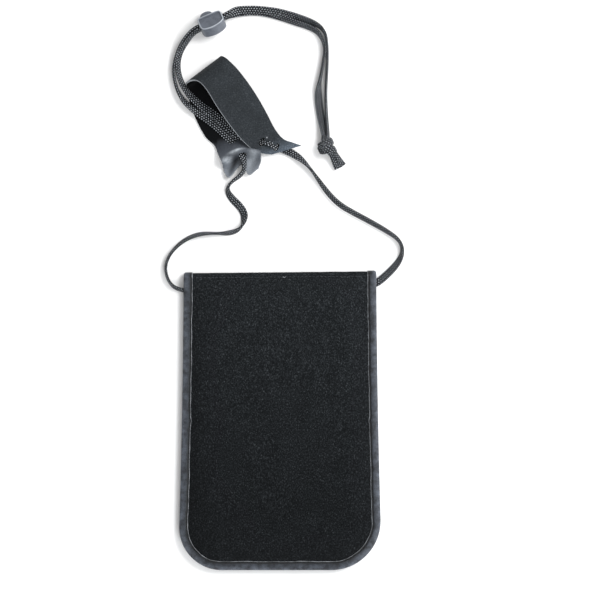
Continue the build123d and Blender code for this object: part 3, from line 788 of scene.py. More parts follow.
def braided(name, centres, side, up_way, half_width, half_height, rows=BRAID_ROWS, floor=0.0, **placing):
    """A braided piece of the pouch with an oval section. Its stitches stand proud."""
    angles = np.linspace(0, 2 * np.pi, 48, endpoint=False)
    across = half_width[:, None] * squared(np.cos(angles), 0.70)
    up = half_height[:, None] * squared(np.sin(angles), 0.74)
    next_across, next_up = np.roll(across, -1, 1), np.roll(up, -1, 1)
    steps = np.cumsum(np.hypot(next_across - across, next_up - up), 1)
    v = np.concatenate([np.zeros((len(centres), 1)), steps[:, :-1]], 1) / steps[:, -1:] * rows
    u = np.repeat(distances(centres)[:, None], len(angles), 1)
    proud = 1 + (braid_relief(u, v) - 0.35) * BRAID_RELIEF / half_height[:, None]
    offset = side[:, None] * across[:, :, None] + up_way[:, None] * (up * proud)[:, :, None]
    rings = centres[:, None] + offset
    rings[:, :, 2] = np.maximum(rings[:, :, 2], floor)
    layers = [("braid", uv_points(u, v), rows)]
    return tube(name, rings, ["braid"], "pouch", "cord_braid", layers=layers, sharp=80, **placing)


def ribbon(name, line, side, width, thickness, **placing):
    """A flat cord along a line, side giving the direction of its width."""
    tangents = unit(np.gradient(line, axis=0))
    side = unit(side - tangents * np.sum(side * tangents, 1)[:, None])
    up_way = np.cross(side, tangents)
    half_width, half_height = (np.broadcast_to(size, len(line)) / 2 for size in (width, thickness))
    return braided(name, line, side, up_way, half_width, half_height, floor=TABLE_GAP, **placing)


cords = {}
for side_name, route in (("left", LEFT_ROUTE), ("right", RIGHT_ROUTE)):
    line, rolls = cord_line(route, 0.36 * MM)
    flat = np.abs(np.cos(rolls))
    piece = ribbon(
        f"{side_name}_cord",
        line,
        rolled_side(line, rolls),
        EDGE_WIDTH + (CORD_WIDTH - EDGE_WIDTH) * flat,
        EDGE_THICKNESS + (CORD_THICKNESS - EDGE_THICKNESS) * flat,
        replaces=[f"cord_{side_name}"],
    )
    cords[side_name] = (piece, line)


# ---------------------------------------------------------------- knot and tails

# The knot's core from where the cords enter it to where the tails leave it, in millimetres:
# the x and y of its left and right sides, and half its height
KNOT_STATIONS = [
    (28.9, 190.2, 32.0, 190.2, 1.4), (28.0, 188.7, 33.3, 188.7, 2.4), (27.5, 187.0, 34.3, 186.9, 3.0),
    (27.1, 185.0, 35.2, 185.0, 3.4), (26.5, 183.0, 36.4, 182.9, 3.5), (27.0, 181.5, 36.6, 181.5, 3.3),
    (29.0, 179.9, 36.2, 180.4, 2.8), (31.6, 178.6, 35.7, 179.5, 2.0), (33.2, 178.0, 34.8, 178.6, 1.1),
]
KNOT_HEIGHT = 4.2 * MM
KNOT_RINGS = 60
KNOT_ROWS = 16
# Each turn of cord over the core: points in millimetres, starting and ending inside it
KNOT_TURNS = [
    [
        (32.4, 185.6, 2.4), (34.6, 187.2, 2.6), (35.0, 187.8, 5.2), (32.6, 186.8, 8.2),
        (28.8, 185.0, 7.8), (26.3, 183.6, 5.2), (26.4, 183.4, 2.4), (29.4, 184.6, 1.6),
    ],
    [
        (33.0, 182.4, 1.6), (36.6, 181.4, 2.2), (37.3, 181.9, 5.0), (34.4, 182.0, 8.0),
        (30.6, 180.6, 7.8), (26.6, 180.6, 5.0), (26.2, 181.6, 2.4), (30.0, 182.8, 1.6),
    ],
    [(30.0, 190.4, 5.0), (29.6, 188.2, 6.8), (30.4, 184.6, 8.0), (33.0, 181.0, 6.8), (34.6, 178.6, 4.4)],
]
KNOT_AXIS = np.array((0.42, -0.90, 0))


def make_knot():
    """The knot: a core, two turns of cord round it and a third along it."""
    stations = np.array(KNOT_STATIONS) * MM
    smooth = catmull_weights(np.linspace(0, 1, KNOT_RINGS), len(stations)) @ stations
    left, right = smooth[:, 0:2], smooth[:, 2:4]
    centres = np.concatenate([(left + right) / 2, np.full((KNOT_RINGS, 1), KNOT_HEIGHT)], 1)
    side = np.concatenate([right - left, np.zeros((KNOT_RINGS, 1))], 1)
    half_width = np.linalg.norm(side, axis=1) / 2
    up_way = np.repeat([(0.0, 0.0, 1.0)], KNOT_RINGS, 0)
    side /= 2 * half_width[:, None]
    braided("knot_core", centres, side, up_way, half_width, smooth[:, 4], KNOT_ROWS, replaces=["knot"])
    for number, turn in enumerate(KNOT_TURNS):
        line = spline_points([(x * MM, y * MM, z * MM) for x, y, z in turn])
        side = np.repeat([np.cross(KNOT_AXIS, (0, 0, 1)) if number == 2 else KNOT_AXIS], len(line), 0)
        ribbon(f"knot_turn_{number + 1}", line, side, 4.6 * MM, 1.5 * MM)


make_knot()
for number, route in enumerate(TAIL_ROUTES):
    line, rolls = cord_line(route, 0.33 * MM)
    replaced = ["cord_tails"] if number == 0 else []
    width = np.linspace(3.0, 4.4, len(line)) * MM
    ribbon(f"cord_tail_{number + 1}", line, rolled_side(line, rolls), width, 1.5 * MM, replaces=replaced)


# ---------------------------------------------------------------- neck pad

PAD_THICKNESS = 1.15 * MM
PAD_ROWS = 236
PAD_COLUMNS = 44
# Stations along the strip, from the curled end of its lower leaf to the tip of its upper leaf.
# Each has five points across, in millimetres, from its left edge to its right edge.
PAD_END = [
    [(-37.4, 166.4, 2.4), (-33.8, 163.2, 3.6), (-25.6, 171.6, 0.8), (-20.9, 164.8, 3.8), (-14.6, 169.0, 3.0)],
    [(-38.2, 169.4, 1.4), (-33.4, 167.4, 0.8), (-25.7, 174.6, 0.9), (-20.2, 170.0, 1.4), (-12.9, 173.2, 3.8)],
    [(-38.6, 171.8, 4.0), (-32.6, 172.2, 1.0), (-26.0, 177.0, 1.2), (-19.4, 175.4, 0.8), (-12.7, 176.6, 3.8)],
    [(-39.4, 174.0, 6.0), (-33.4, 176.4, 6.4), (-26.2, 180.4, 4.8), (-18.8, 180.2, 6.0), (-13.0, 179.8, 4.8)],
    [(-41.2, 178.0, 3.2), (-35.8, 180.6, 3.6), (-28.4, 183.4, 3.4), (-20.8, 183.6, 3.0), (-14.6, 184.0, 2.2)],
    [(-43.8, 184.2, 0.9), (-38.6, 186.4, 1.2), (-32.0, 188.6, 1.1), (-24.6, 189.4, 0.9), (-17.4, 190.4, 0.8)],
]
# Elsewhere the strip is level across, apart from a slight arch, and has its left and right edges only.
PAD_EDGES = [
    ((-50.6, 191.2, 0.7), (-22.6, 199.6, 0.7)), ((-57.8, 205.4, 0.7), (-30.4, 213.0, 0.7)),
    ((-60.8, 214.6, 0.7), (-35.2, 227.2, 0.7)), ((-62.2, 222.4, 1.0), (-38.6, 238.6, 1.0)),
    ((-62.6, 226.0, 5.0), (-39.6, 243.4, 5.6)), ((-58.4, 227.6, 9.6), (-36.8, 242.8, 10.6)),
    ((-53.6, 226.2, 12.2), (-33.4, 240.0, 12.8)), ((-48.4, 220.4, 13.0), (-28.6, 235.2, 13.4)),
    ((-42.3, 210.3, 12.0), (-21.8, 226.6, 12.6)), ((-35.4, 200.3, 10.0), (-15.2, 216.8, 11.0)),
    ((-28.6, 191.5, 7.6), (-9.0, 206.0, 9.0)), ((-21.8, 184.4, 5.4), (-3.4, 195.4, 6.8)),
    ((-16.6, 180.8, 4.0), (2.2, 188.8, 5.2)), ((-11.6, 179.2, 3.2), (8.6, 186.3, 5.0)),
    ((-5.6, 178.7, 2.6), (14.6, 184.2, 5.6)),
]
# Slits that the cord is threaded through: x, y, direction in degrees, half length, half width, lowest height
PAD_SLITS = [
    (-2.2, 183.4, 64, 2.7, 1.4, 3.0),
    (-11.9, 187.0, 64, 2.9, 1.7, 3.0),
    (-24.9, 178.6, 8, 2.9, 1.5, -1.0),
    (-31.9, 187.4, 28, 3.2, 1.5, -1.0),
]


def pad_station(left, right):
    """Five points across the strip, between two edges."""
    shares = np.linspace(0, 1, 5)[:, None]
    points = np.array(left) * (1 - shares) + np.array(right) * shares
    points[:, 2] += 0.35 * np.sin(np.pi * shares[:, 0])
    return points


def make_pad():
    """The neck pad: a strip folded in half round the cord, with four slits."""
    net = np.array(PAD_END + [pad_station(left, right) for left, right in PAD_EDGES]) * MM
    s = catmull_weights(np.linspace(0, 1, PAD_ROWS), len(net))
    t = catmull_weights(np.linspace(0, 1, PAD_COLUMNS), 5)
    grid = np.einsum("ri,cj,ijk->rck", s, t, net)
    far = np.mean([distances(grid[:, 0]), distances(grid[:, -1])], 0)
    share, across = np.meshgrid(far / far[-1], np.linspace(0, 1, PAD_COLUMNS), indexing="ij")
    grid[:, :, 2] += ripple(share, (0.23, 0.0002, 0.4), (0.11, 0.00012, 2.0)) * ease(0.45, 0.55, share)
    keep = np.ones((PAD_ROWS - 1, PAD_COLUMNS - 1), bool)
    upper_leaf = share > 0.5
    for x, y, heading, half_length, half_width, low in PAD_SLITS:
        turn = math.radians(heading)
        dx, dy = grid[:, :, 0] - x * MM, grid[:, :, 1] - y * MM
        along = (dx * math.cos(turn) + dy * math.sin(turn)) / (half_length * MM)
        sideways = (dy * math.cos(turn) - dx * math.sin(turn)) / (half_width * MM)
        reach = np.hypot(along, sideways)
        reach[upper_leaf != (low > 0)] = np.inf
        middle = (reach[:-1, :-1] + reach[1:, :-1] + reach[:-1, 1:] + reach[1:, 1:]) / 4
        keep &= middle > 1
        lip = (reach > 0.55) & (reach < 1.0)
        grid[:, :, 0][lip] = x * MM + dx[lip] / reach[lip]
        grid[:, :, 1][lip] = y * MM + dy[lip] / reach[lip]
    normals = unit(np.cross(np.gradient(grid, axis=1), np.gradient(grid, axis=0)))
    over = grid + normals * PAD_THICKNESS / 2
    under = grid - normals * PAD_THICKNESS / 2
    for face in (over, under):
        face[:, :, 2] = np.maximum(face[:, :, 2], TABLE_GAP)
    layers = [("pad", uv_points(share, across))]
    placing = {"keep": keep, "layers": layers, "replaces": ["neck_pad"]}
    looks = ["pad_lining", "pad", "pad_edge"]
    pad = thick_sheet("neck_pad_strip", over, under, looks, "pouch", "pad_suede", **placing)
    return pad, float(far[-1]), over


pad, pad_length, pad_grid = make_pad()


# ---------------------------------------------------------------- cord lock

# The lock's outline seen on its face, in millimetres: along the cord and across it.
# Its two ends, where the cords pass, are straight between these arcs.
MOUTH_HALF_HEIGHT = 2.4
MOUTH_HALF_WIDTH = 3.8
LOWER_ARC = [(8.7, -2.4), (8.2, -4.0), (5.4, -5.9), (1.0, -7.0), (-3.8, -6.9), (-7.4, -5.6), (-8.5, -2.4)]
UPPER_ARC = [(-8.5, 2.4), (-7.8, 4.3), (-5.2, 5.0), (0.0, 5.1), (5.4, 5.1), (7.9, 4.3), (8.7, 2.4)]
BUTTON_ARC = [(-6.2, 4.7), (-6.0, 6.2), (-4.6, 8.2), (-1.5, 9.1), (1.6, 8.2), (2.9, 6.2), (3.1, 4.7)]
BUTTON_FOOT = 4.6
WELL_FLOOR = 2.7
WELL_LEFT, WELL_RIGHT = -6.9, 3.6
# The shell is a grid of rings. Its openings lie between two of them, and each mouth has this many columns.
WALL_ROWS = (3, 15)
MOUTH_COLUMNS = 9
# Height out of the middle, how far the outline is drawn in, and how strongly the painted rim highlight
# lightens the edge there
SHELL_PROFILE = [
    (-5.3, 1.9, 0.0), (-5.1, 0.9, 0.0), (-4.5, 0.2, 0.0), (3.5, 0.0, 0.0), (4.05, 0.10, 0.1),
    (4.40, 0.32, 0.9), (4.50, 0.62, 1.0), (4.42, 0.92, 0.5), (3.86, 1.12, 0.0), (3.84, 1.90, 0.0),
]
# The button's section in the same three columns, the last being its painted rim highlight.
BUTTON_PROFILE = [
    (-3.3, 1.2, 0.0), (-3.1, 0.4, 0.0), (-2.6, 0.0, 0.0), (2.4, 0.0, 0.0), (3.0, 0.25, 0.6),
    (3.3, 0.7, 0.8), (3.35, 1.3, 0.1),
]


def arc_points(arc, count):
    return catmull_weights(np.linspace(0, 1, count), len(arc)) @ np.array(arc)


def inwards(loop):
    """Unit vectors into a loop that runs clockwise."""
    ways = np.roll(loop, -1, 0) - np.roll(loop, 1, 0)
    return unit(np.stack([ways[:, 1], -ways[:, 0]], 1))


def block_rings(loop, profile):
    """Rings of points of a block with a rounded rim, in the lock's frame, with how much painted rim highlight
    each gets.
    """
    rings = []
    for facing, inset, pale in profile:
        along, across = ((loop + inwards(loop) * inset) * MM).T[:, :, None]
        rings.append(lock_point(along, across, facing * MM))
    pale = np.repeat([p[2] for p in profile], len(loop))
    return np.array(rings), np.stack([pale, np.zeros_like(pale)], 1)


def opening(first, last):
    """The grid places round an opening in the shell's wall, as (row, column)."""
    low, high = WALL_ROWS
    around = [(low, c) for c in range(first, last)] + [(r, last) for r in range(low, high)]
    return around + [(high, c) for c in range(last, first, -1)] + [(r, first) for r in range(high, low, -1)]


def make_shell():
    """The lock's body, with a tunnel right through it for the cords and a well for the button."""
    mouth = np.linspace(MOUTH_HALF_HEIGHT, -MOUTH_HALF_HEIGHT, MOUTH_COLUMNS)
    right = np.stack([np.full_like(mouth, UPPER_ARC[-1][0]), mouth], 1)
    left = np.stack([np.full_like(mouth, UPPER_ARC[0][0]), mouth[::-1]], 1)
    lower, upper = arc_points(LOWER_ARC, 40)[1:-1], arc_points(UPPER_ARC, 40)[1:-1]
    loop = np.concatenate([right, lower, left, upper])
    count = len(loop)
    first_row, last_row = WALL_ROWS
    heights = np.linspace(-MOUTH_HALF_WIDTH, MOUTH_HALF_WIDTH, last_row - first_row + 1)
    walls = [(height, 0.0, 0.0) for height in heights]
    profile = SHELL_PROFILE[:first_row] + walls + SHELL_PROFILE[first_row + 1 :]
    rings, pale = block_rings(loop, profile)
    rows = len(profile)
    quads = grid_faces(rows, count, wrap=True)
    row, column = quads[:, 0] // count, quads[:, 0] % count
    last = MOUTH_COLUMNS - 1
    first_left = MOUTH_COLUMNS + len(lower)
    first_upper = first_left + MOUTH_COLUMNS
    in_rows = (row >= first_row) & (row < last_row)
    at_mouth = (column < last) | ((column >= first_left) & (column < first_left + last))
    over_button = np.flatnonzero((upper[:, 0] > WELL_LEFT) & (upper[:, 0] < WELL_RIGHT)) + first_upper
    at_well = (column >= over_button[0]) & (column < over_button[-1])
    faces = quads[~(in_rows & (at_mouth | at_well))][:, ::-1].tolist()
    faces.append(list(range(count)))
    faces.append([(rows - 1) * count + c for c in range(count)][::-1])
    near = [r * count + c for r, c in opening(0, last)]
    far = [r * count + first_left + last - c for r, c in opening(0, last)]
    well = [r * count + c for r, c in opening(over_button[0], over_button[-1])]
    points = rings.reshape(-1, 3)
    depth = (loop[over_button].mean(0)[1] - WELL_FLOOR) * MM
    sunk = points[well] - LOCK_PLUNGE * depth
    floor = list(range(len(points), len(points) + len(well)))
    points = np.concatenate([points, sunk])
    pale = np.concatenate([pale, np.zeros((len(well), 2))])
    for start, end in ((near, far), (well, floor)):
        for k in range(len(start)):
            after = (k + 1) % len(start)
            faces.append([start[k], start[after], end[after], end[k]])
    faces.append(floor)
    # The UV layer rim carries the painted rim highlight.
    rim = [("rim", pale, 0)]
    make_piece("lock_shell", points, faces, ["plastic"], "lock", "lock_plastic", ["lock_body"], rim, sharp=40)


def make_button():
    """The lock's button, rounded, sunk into the body's upper side."""
    loop = arc_points(BUTTON_ARC, 40)
    base = np.stack([np.linspace(2.9, -6.0, 12), np.full(12, BUTTON_FOOT)], 1)
    rings, pale = block_rings(np.concatenate([loop, base]), BUTTON_PROFILE)
    placing = {"layers": [("rim", pale, 0)], "replaces": ["lock_button"], "sharp": 40}
    tube("lock_plunger", rings[::-1], ["plastic"], "button", "lock_plastic", **placing)


make_shell()
make_button()


# ---------------------------------------------------------------- the pouch's outline


def half_width(y):
    share = np.clip((TOP_Y - y) / (TOP_Y - CORNER_Y), 0, 1)
    return TOP_HALF_WIDTH + (TOP_Y - y) * TAPER - SIDE_HOLLOW * np.sin(np.pi * share)


def lean(points):
    """Points of the pouch with its folded top made to rise a little to the right."""
    shift = TOP_LEAN * points[..., 0] * ease(30 * MM, TOP_Y, points[..., 1])
    return points + np.stack([np.zeros_like(shift), shift, np.zeros_like(shift)], -1)


def edge_distance(x, y):
    """How far inside the pouch's side and bottom edges a point lies."""
    radius = np.where(x < 0, LEFT_RADIUS, RIGHT_RADIUS)
    side = half_width(y) - np.abs(x)
    bottom = y - BOTTOM_Y
    corner = radius - np.hypot(radius - side, radius - bottom)
    return np.where((side < radius) & (bottom < radius), corner, np.minimum(side, bottom))


def row_end(y, radius, inset):
    """How far from the middle a row at y ends, inset from the pouch's edge, by its corner's radius."""
    down = np.clip(BOTTOM_Y + radius - y, 0, radius - inset)
    return half_width(y) - radius + np.sqrt((radius - inset) ** 2 - down**2)


def outline_grid(inset, top, columns=130, row_step=1.2 * MM, stops=()):
    """Grid points that fill the outline, drawn inset from its edge and cut straight across at top.

    stops are heights in Y that a row of points has to lie on.
    """
    curved = RIGHT_RADIUS - inset
    low_rows = BOTTOM_Y + RIGHT_RADIUS - curved * np.sin(np.linspace(np.pi / 2, 0, 34))
    high_rows = np.linspace(low_rows[-1], top, max(int((top - low_rows[-1]) / row_step), 2))[1:]
    for stop in stops:
        high_rows[np.argmin(np.abs(high_rows - stop))] = stop
    rows = np.concatenate([low_rows, high_rows])
    share = np.linspace(0, 1, columns)[None, :]
    left, right = (row_end(rows, radius, inset)[:, None] for radius in (LEFT_RADIUS, RIGHT_RADIUS))
    return -left + (left + right) * share, np.repeat(rows[:, None], columns, 1)


def puff(x, y, top=None):
    """0 at a layer's bound edge, 1 on its crown. top is the Y of a bound upper edge."""
    inward = np.clip((edge_distance(x, y) - 5.6 * MM) / (21 * MM), 0, 1)
    rise = 1 - (1 - inward) ** 2.3
    if top is None:
        return rise
    down = np.clip((top - y) / (20 * MM), 0, 1)
    return rise * (1 - (1 - down) ** 2.2)


def raised(surface, millimetres):
    """A height function of (x, y) that lies that far above another one."""
    return lambda x, y: surface(x, y) + millimetres * MM


def layer(name, node, body, material, top, over, under, keep=None, stops=()):
    """A cloth layer inside the outline, between two height functions of (x, y). keep tells what isn't cut."""
    x, y = outline_grid(CLOTH_INSET, top, stops=stops)
    mask = None
    if keep is not None:
        mask = keep((x[:-1, :-1] + x[1:, 1:]) / 2, (y[:-1, :-1] + y[1:, 1:]) / 2)
    upper = lean(np.stack([x, y, over(x, y)], -1))
    lower = lean(np.stack([x, y, under(x, y)], -1))
    return thick_sheet(name, upper, lower, [material], body, material + "_fabric", mask, replaces=[node])


def hem(name, node, body, low_y, high_y, over, under):
    """The taped edge of a pocket, a straight strip between two height functions."""
    y = np.linspace(low_y, high_y, 9)[:, None]
    x = (half_width(y) - HEM_MARGIN) * np.linspace(-1, 1, 120)[None, :]
    y = np.repeat(y, x.shape[1], 1)
    upper = np.stack([x, y, over(x, y)], -1)
    lower = np.stack([x, y, under(x, y)], -1)
    thick_sheet(name, upper, lower, ["hem"], body, "hem_tape", replaces=[node])


# ---------------------------------------------------------------- flap

CLOTH_INSET = 1.2 * MM
HEM_MARGIN = 7 * MM
FLAP_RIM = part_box("flap_panel")[0].z
FLAP_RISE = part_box("flap_panel")[1].z - FLAP_RIM - 1.0 * MM
CLOTH = 1.0 * MM


def flap_relief(x, y):
    """The front's low waves, the inner pocket's edge, and the crease across its middle."""
    waves = ripple(x + 0.35 * y, (61 * MM, 0.13 * MM, 0.4), (34 * MM, 0.06 * MM, 2.1))
    waves = waves + ripple(y - 0.2 * x, (83 * MM, 0.16 * MM, 1.2), (41 * MM, 0.08 * MM, 0.2))
    line = CREASE_Y + 0.5 * MM * np.sin(x / (17 * MM))
    crease = -0.42 * MM * np.exp(-(((y - line) / (0.7 * MM)) ** 2))
    pocket = 0.10 * MM * np.tanh((CREASE_Y - y) / (1.2 * MM))
    return waves + crease + pocket


def flap_top(x, y):
    rise = puff(x, y, FOLD_Y)
    return FLAP_RIM + CLOTH + rise * (FLAP_RISE - 0.5 * MM + flap_relief(x, y))


def pocket_under(x, y):
    return FLAP_RIM - 0.45 * MM + puff(x, y) * (FLAP_RISE - 0.9 * MM)


flap_back = raised(flap_top, -CLOTH / MM)
flap_cloth = layer("flap_cloth", "flap_panel", "flap", "panel", FOLD_Y, flap_top, flap_back)
flap_pocket = layer(
    "flap_pocket_cloth", "flap_pocket", "flap", "lining", CREASE_Y, raised(pocket_under, 0.38), pocket_under
)
pocket_faces = (raised(pocket_under, -0.02), raised(pocket_under, -0.45))
hem("flap_pocket_edge", "flap_pocket_hem", "flap", CREASE_Y - 6 * MM, CREASE_Y - 0.1 * MM, *pocket_faces)


# ---------------------------------------------------------------- body

LINING_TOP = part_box("zip_lining")[1].y
POCKET_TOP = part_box("slip_pocket")[1].y
ZIP_Y = 62 * MM
WINDOW_HALF_HEIGHT = 3.5 * MM
WINDOW_HALF_LENGTH = 53.5 * MM


def back_under(x, y):
    return 0.5 * MM * (1 - ease(5.8 * MM, 8.0 * MM, np.minimum(edge_distance(x, y), FOLD_Y - y + 2 * MM)))


def lining_over(x, y):
    inward = np.minimum(edge_distance(x, y), LINING_TOP + 7 * MM - y)
    return 2.0 * MM + 0.8 * MM * ease(6.4 * MM, 10 * MM, inward) + ripple(x + y, (47 * MM, 0.04 * MM, 0.3))


def slip_over(x, y):
    return 2.55 * MM + puff(x, y) * (5.0 * MM + ripple(x - 0.3 * y, (58 * MM, 0.10 * MM, 0.7)))


def outside_window(x, y):
    return (np.abs(y - ZIP_Y) > WINDOW_HALF_HEIGHT) | (np.abs(x) > WINDOW_HALF_LENGTH)


back_cloth = layer("back_cloth", "back_panel", "pouch", "panel", FOLD_Y, raised(back_under, 1.0), back_under)
lining_cloth = layer(
    "zip_lining_cloth",
    "zip_lining",
    "pouch",
    "lining",
    LINING_TOP,
    lining_over,
    raised(lining_over, -0.45),
    keep=outside_window,
    stops=(ZIP_Y - WINDOW_HALF_HEIGHT, ZIP_Y + WINDOW_HALF_HEIGHT),
)
slip_cloth = layer(
    "slip_pocket_cloth", "slip_pocket", "pouch", "lining", POCKET_TOP, slip_over, raised(slip_over, -0.45)
)
slip_faces = (raised(slip_over, 0.45), raised(slip_over, 0.02))
hem("slip_pocket_edge", "slip_pocket_hem", "pouch", POCKET_TOP - 6 * MM, POCKET_TOP + 0.1 * MM, *slip_faces)


# ---------------------------------------------------------------- edge binding


# The tape's section on top, from its lip to its outer edge, in millimetres: how far in, and how far down
TAPE_TOP = [
    (6.00, 0.34), (5.94, 0.12), (5.74, 0.02), (5.52, 0.08), (5.38, 0.36), (5.02, 0.42), (4.74, 0.14),
    (4.20, 0.01), (3.40, 0.00), (2.50, 0.01), (1.70, 0.06), (1.00, 0.22), (0.48, 0.50), (0.14, 0.85),
]
# Where the tape's UV falls in its painted groove shade, and the point of its section that lies in the groove
GROOVE_SHADE_SHARE = 0.16
GROOVE_POINT = 5
TAPE_JOIN_X = 5 * MM


def side_stations(radius, step):
    """Points from the top of one side to the bottom's flat part: distance from the middle, y, and inwards."""
    corner_y = BOTTOM_Y + radius
    side_y = np.linspace(FOLD_Y, corner_y, int((FOLD_Y - corner_y) / step))
    angles = np.linspace(0, np.pi / 2, int(radius * np.pi / 2 / step))[1:]
    centre = half_width(corner_y) - radius
    straight = np.stack([half_width(side_y), side_y, np.ones_like(side_y), np.zeros_like(side_y)], 1)
    inwards_x, inwards_y = np.cos(angles), np.sin(angles)
    curved = [centre + radius * inwards_x, corner_y - radius * inwards_y, inwards_x, inwards_y]
    return np.concatenate([straight, np.stack(curved, 1)])


def edge_stations(step=0.9 * MM):
    """Points round the sides and bottom, from top left to top right: x, y and the way inwards."""
    left = side_stations(LEFT_RADIUS, step) * (-1, 1, 1, 1)
    right = (side_stations(RIGHT_RADIUS, step) * (1, 1, -1, 1))[::-1]
    x = np.arange(left[-1, 0] + step, right[0, 0] - step / 2, step)
    bottom = np.stack([x, np.full_like(x, BOTTOM_Y), np.zeros_like(x), np.ones_like(x)], 1)
    return np.concatenate([left, bottom, right])


def tape_section(low, high):
    """The tape's section in millimetres as (inwards, height), from its lip on top round to its slot."""
    middle = (low + high) / 2
    top = [(inward, high - drop) for inward, drop in TAPE_TOP] + [(0.0, middle + 0.10)]
    bottom = [(inward, low + high - height) for inward, height in top[::-1]]
    inner_low, inner_high = low + 0.42, high - 0.42
    slot = [(6.0, inner_low), (3.0, inner_low), (1.1, inner_low), (1.0, middle)]
    slot += [(1.1, inner_high), (3.0, inner_high), (6.0, inner_high)]
    far = distances(np.array(top + bottom))
    shares = far / far[-1] * 2
    across = np.concatenate([np.where(shares <= 1, shares, 2 - shares), np.full(len(slot), GROOVE_SHADE_SHARE)])
    return np.array(top + bottom + slot) * MM, across


def binding(name, low, high, body, node, phase):
    """The edge tape round one panel's sides and bottom, puckered by its stitches, with its ends lapped."""
    section, across = tape_section(low.z / MM, high.z / MM)
    stations = edge_stations()
    far = distances(stations[:, :2])
    fade = ease(0, 6 * MM, np.minimum(far, far[-1] - far))
    steps = far / MM
    waves = MM * ripple(steps, (43, 0.13, phase), (19, 0.10, 1.3 + phase), (8.3, 0.05, 2.2))
    kink = 0.45 * MM * np.exp(-(((stations[:, 1] - CREASE_Y) / (1.6 * MM)) ** 2))
    pucker = MM * ripple(steps, (6.1, 0.06, phase), (13.7, 0.07, 0.5 + phase), (3.1, 0.03, 1.0))
    at_bottom = stations[:, 1] < BOTTOM_Y + 0.01 * MM
    past_join = stations[:, 0] - TAPE_JOIN_X
    lap = 0.22 * MM * at_bottom * ease(0, 0.5 * MM, past_join) * (1 - ease(14 * MM, 16 * MM, past_join))
    inward, height = section[None, :, 0], section[None, :, 1]
    depth = inward + ((waves + kink) * fade)[:, None] * inward / TAPE_WIDTH
    above = height > (low.z + high.z) / 2
    lift = (pucker * fade)[:, None] * np.sin(np.pi * np.clip(inward / TAPE_WIDTH, 0, 1)) + lap[:, None]
    x = stations[:, 0, None] + stations[:, 2, None] * depth
    y = stations[:, 1, None] + stations[:, 3, None] * depth
    rings = lean(np.stack([x, y, height + np.where(above, lift, 0)], -1))
    layers = [("tape", uv_points(far[:, None], across), 0)]
    tube(name, rings, ["tape"], body, "binding_tape", replaces=[node], layers=layers)
    return rings[:, GROOVE_POINT]


def stitches(name, places, ways, material, body, length=2.0 * MM, width=0.32 * MM, height=0.22 * MM):
    """A row of sewn stitches: a short rounded thread at each place, along each way."""
    shape = np.array([(0, 0), (0.12, 0.7), (0.3, 1.0), (0.5, 1.05), (0.7, 1.0), (0.88, 0.7), (1.0, 0)])
    angles = np.linspace(0, 2 * np.pi, 6, endpoint=False)
    points, faces = [], []
    for place, way in zip(places, ways):
        way = unit(way)
        side = unit(np.cross((0, 0, 1), way))
        up = np.cross(way, side)
        base = len(points)
        for along, fat in shape:
            for a in angles:
                offset = side * np.cos(a) * width / 2 + up * np.sin(a) * height / 2
                points.append(place + way * (along - 0.5) * length + offset * max(fat, 0.05))
        faces += capped_faces(len(shape), len(angles), base)
    make_piece(name, points, faces, [material], body, "binding_tape")


def stitch_row(name, line, material, body, pitch, lift=0.0, **sizes):
    """Stitches at an even pitch along a line."""
    far = distances(line)
    spots = np.arange(pitch, far[-1] - pitch, pitch)
    places, ahead = (at_places(spots + step, far, line) + (0, 0, lift) for step in (0, pitch / 4))
    stitches(name, places, ahead - places, material, body, **sizes)


for tape_name, low, high, body, node, phase in (
    ("flap_edge_tape", FLAP_LOW, FLAP_HIGH, "flap", "flap_binding", 0.0),
    ("body_edge_tape", BODY_LOW, BODY_HIGH, "pouch", "body_binding", 1.9),
):
    groove = binding(tape_name, low, high, body, node, phase)
    stitch_row(tape_name + "_stitches", groove, "thread", body, 2.9 * MM, 0.06 * MM)


# ---------------------------------------------------------------- fold at the top

FOLD_BEND_Y = 97.2 * MM
FOLD_STEP = 0.35 * MM
SEAM_HALF_LENGTH = 58 * MM


def fold_path(low, high, legs, count=26):
    """The outer line of the fold in (y, z), from the body's side round to the flap's side."""
    radius = (high - low) / 2
    angles = np.linspace(-np.pi / 2, np.pi / 2, count)
    leg = [FOLD_Y - legs, FOLD_Y, FOLD_Y + FOLD_STEP]
    y = np.concatenate([leg, FOLD_BEND_Y + radius * np.cos(angles), leg[::-1]])
    z = np.concatenate([[low] * 3, (low + high) / 2 + radius * np.sin(angles), [high] * 3])
    return y, z


def fold_piece(name, x, low, high, thickness, legs, crown, materials, slot, layers=(), **placing):
    """Cloth or tape that runs round the fold from the body to the flap and bends with it."""
    y, z = fold_path(low, high, legs)
    ways = unit(np.stack([np.gradient(y), np.gradient(z)], 1))
    inner_y = y - ways[:, 1] * thickness
    inner_z = z + ways[:, 0] * thickness
    drop = crown(x)
    outer_y = y[:, None] - ways[:, 1, None] * drop
    outer_z = z[:, None] + ways[:, 0, None] * drop
    over = lean(np.stack(np.broadcast_arrays(x[None, :], outer_y, outer_z), -1))
    under = lean(np.stack(np.broadcast_arrays(x[None, :], inner_y[:, None], inner_z[:, None]), -1))
    piece = thick_sheet(name, over, under, materials, None, slot, layers=layers, **placing)
    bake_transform(piece)
    return piece


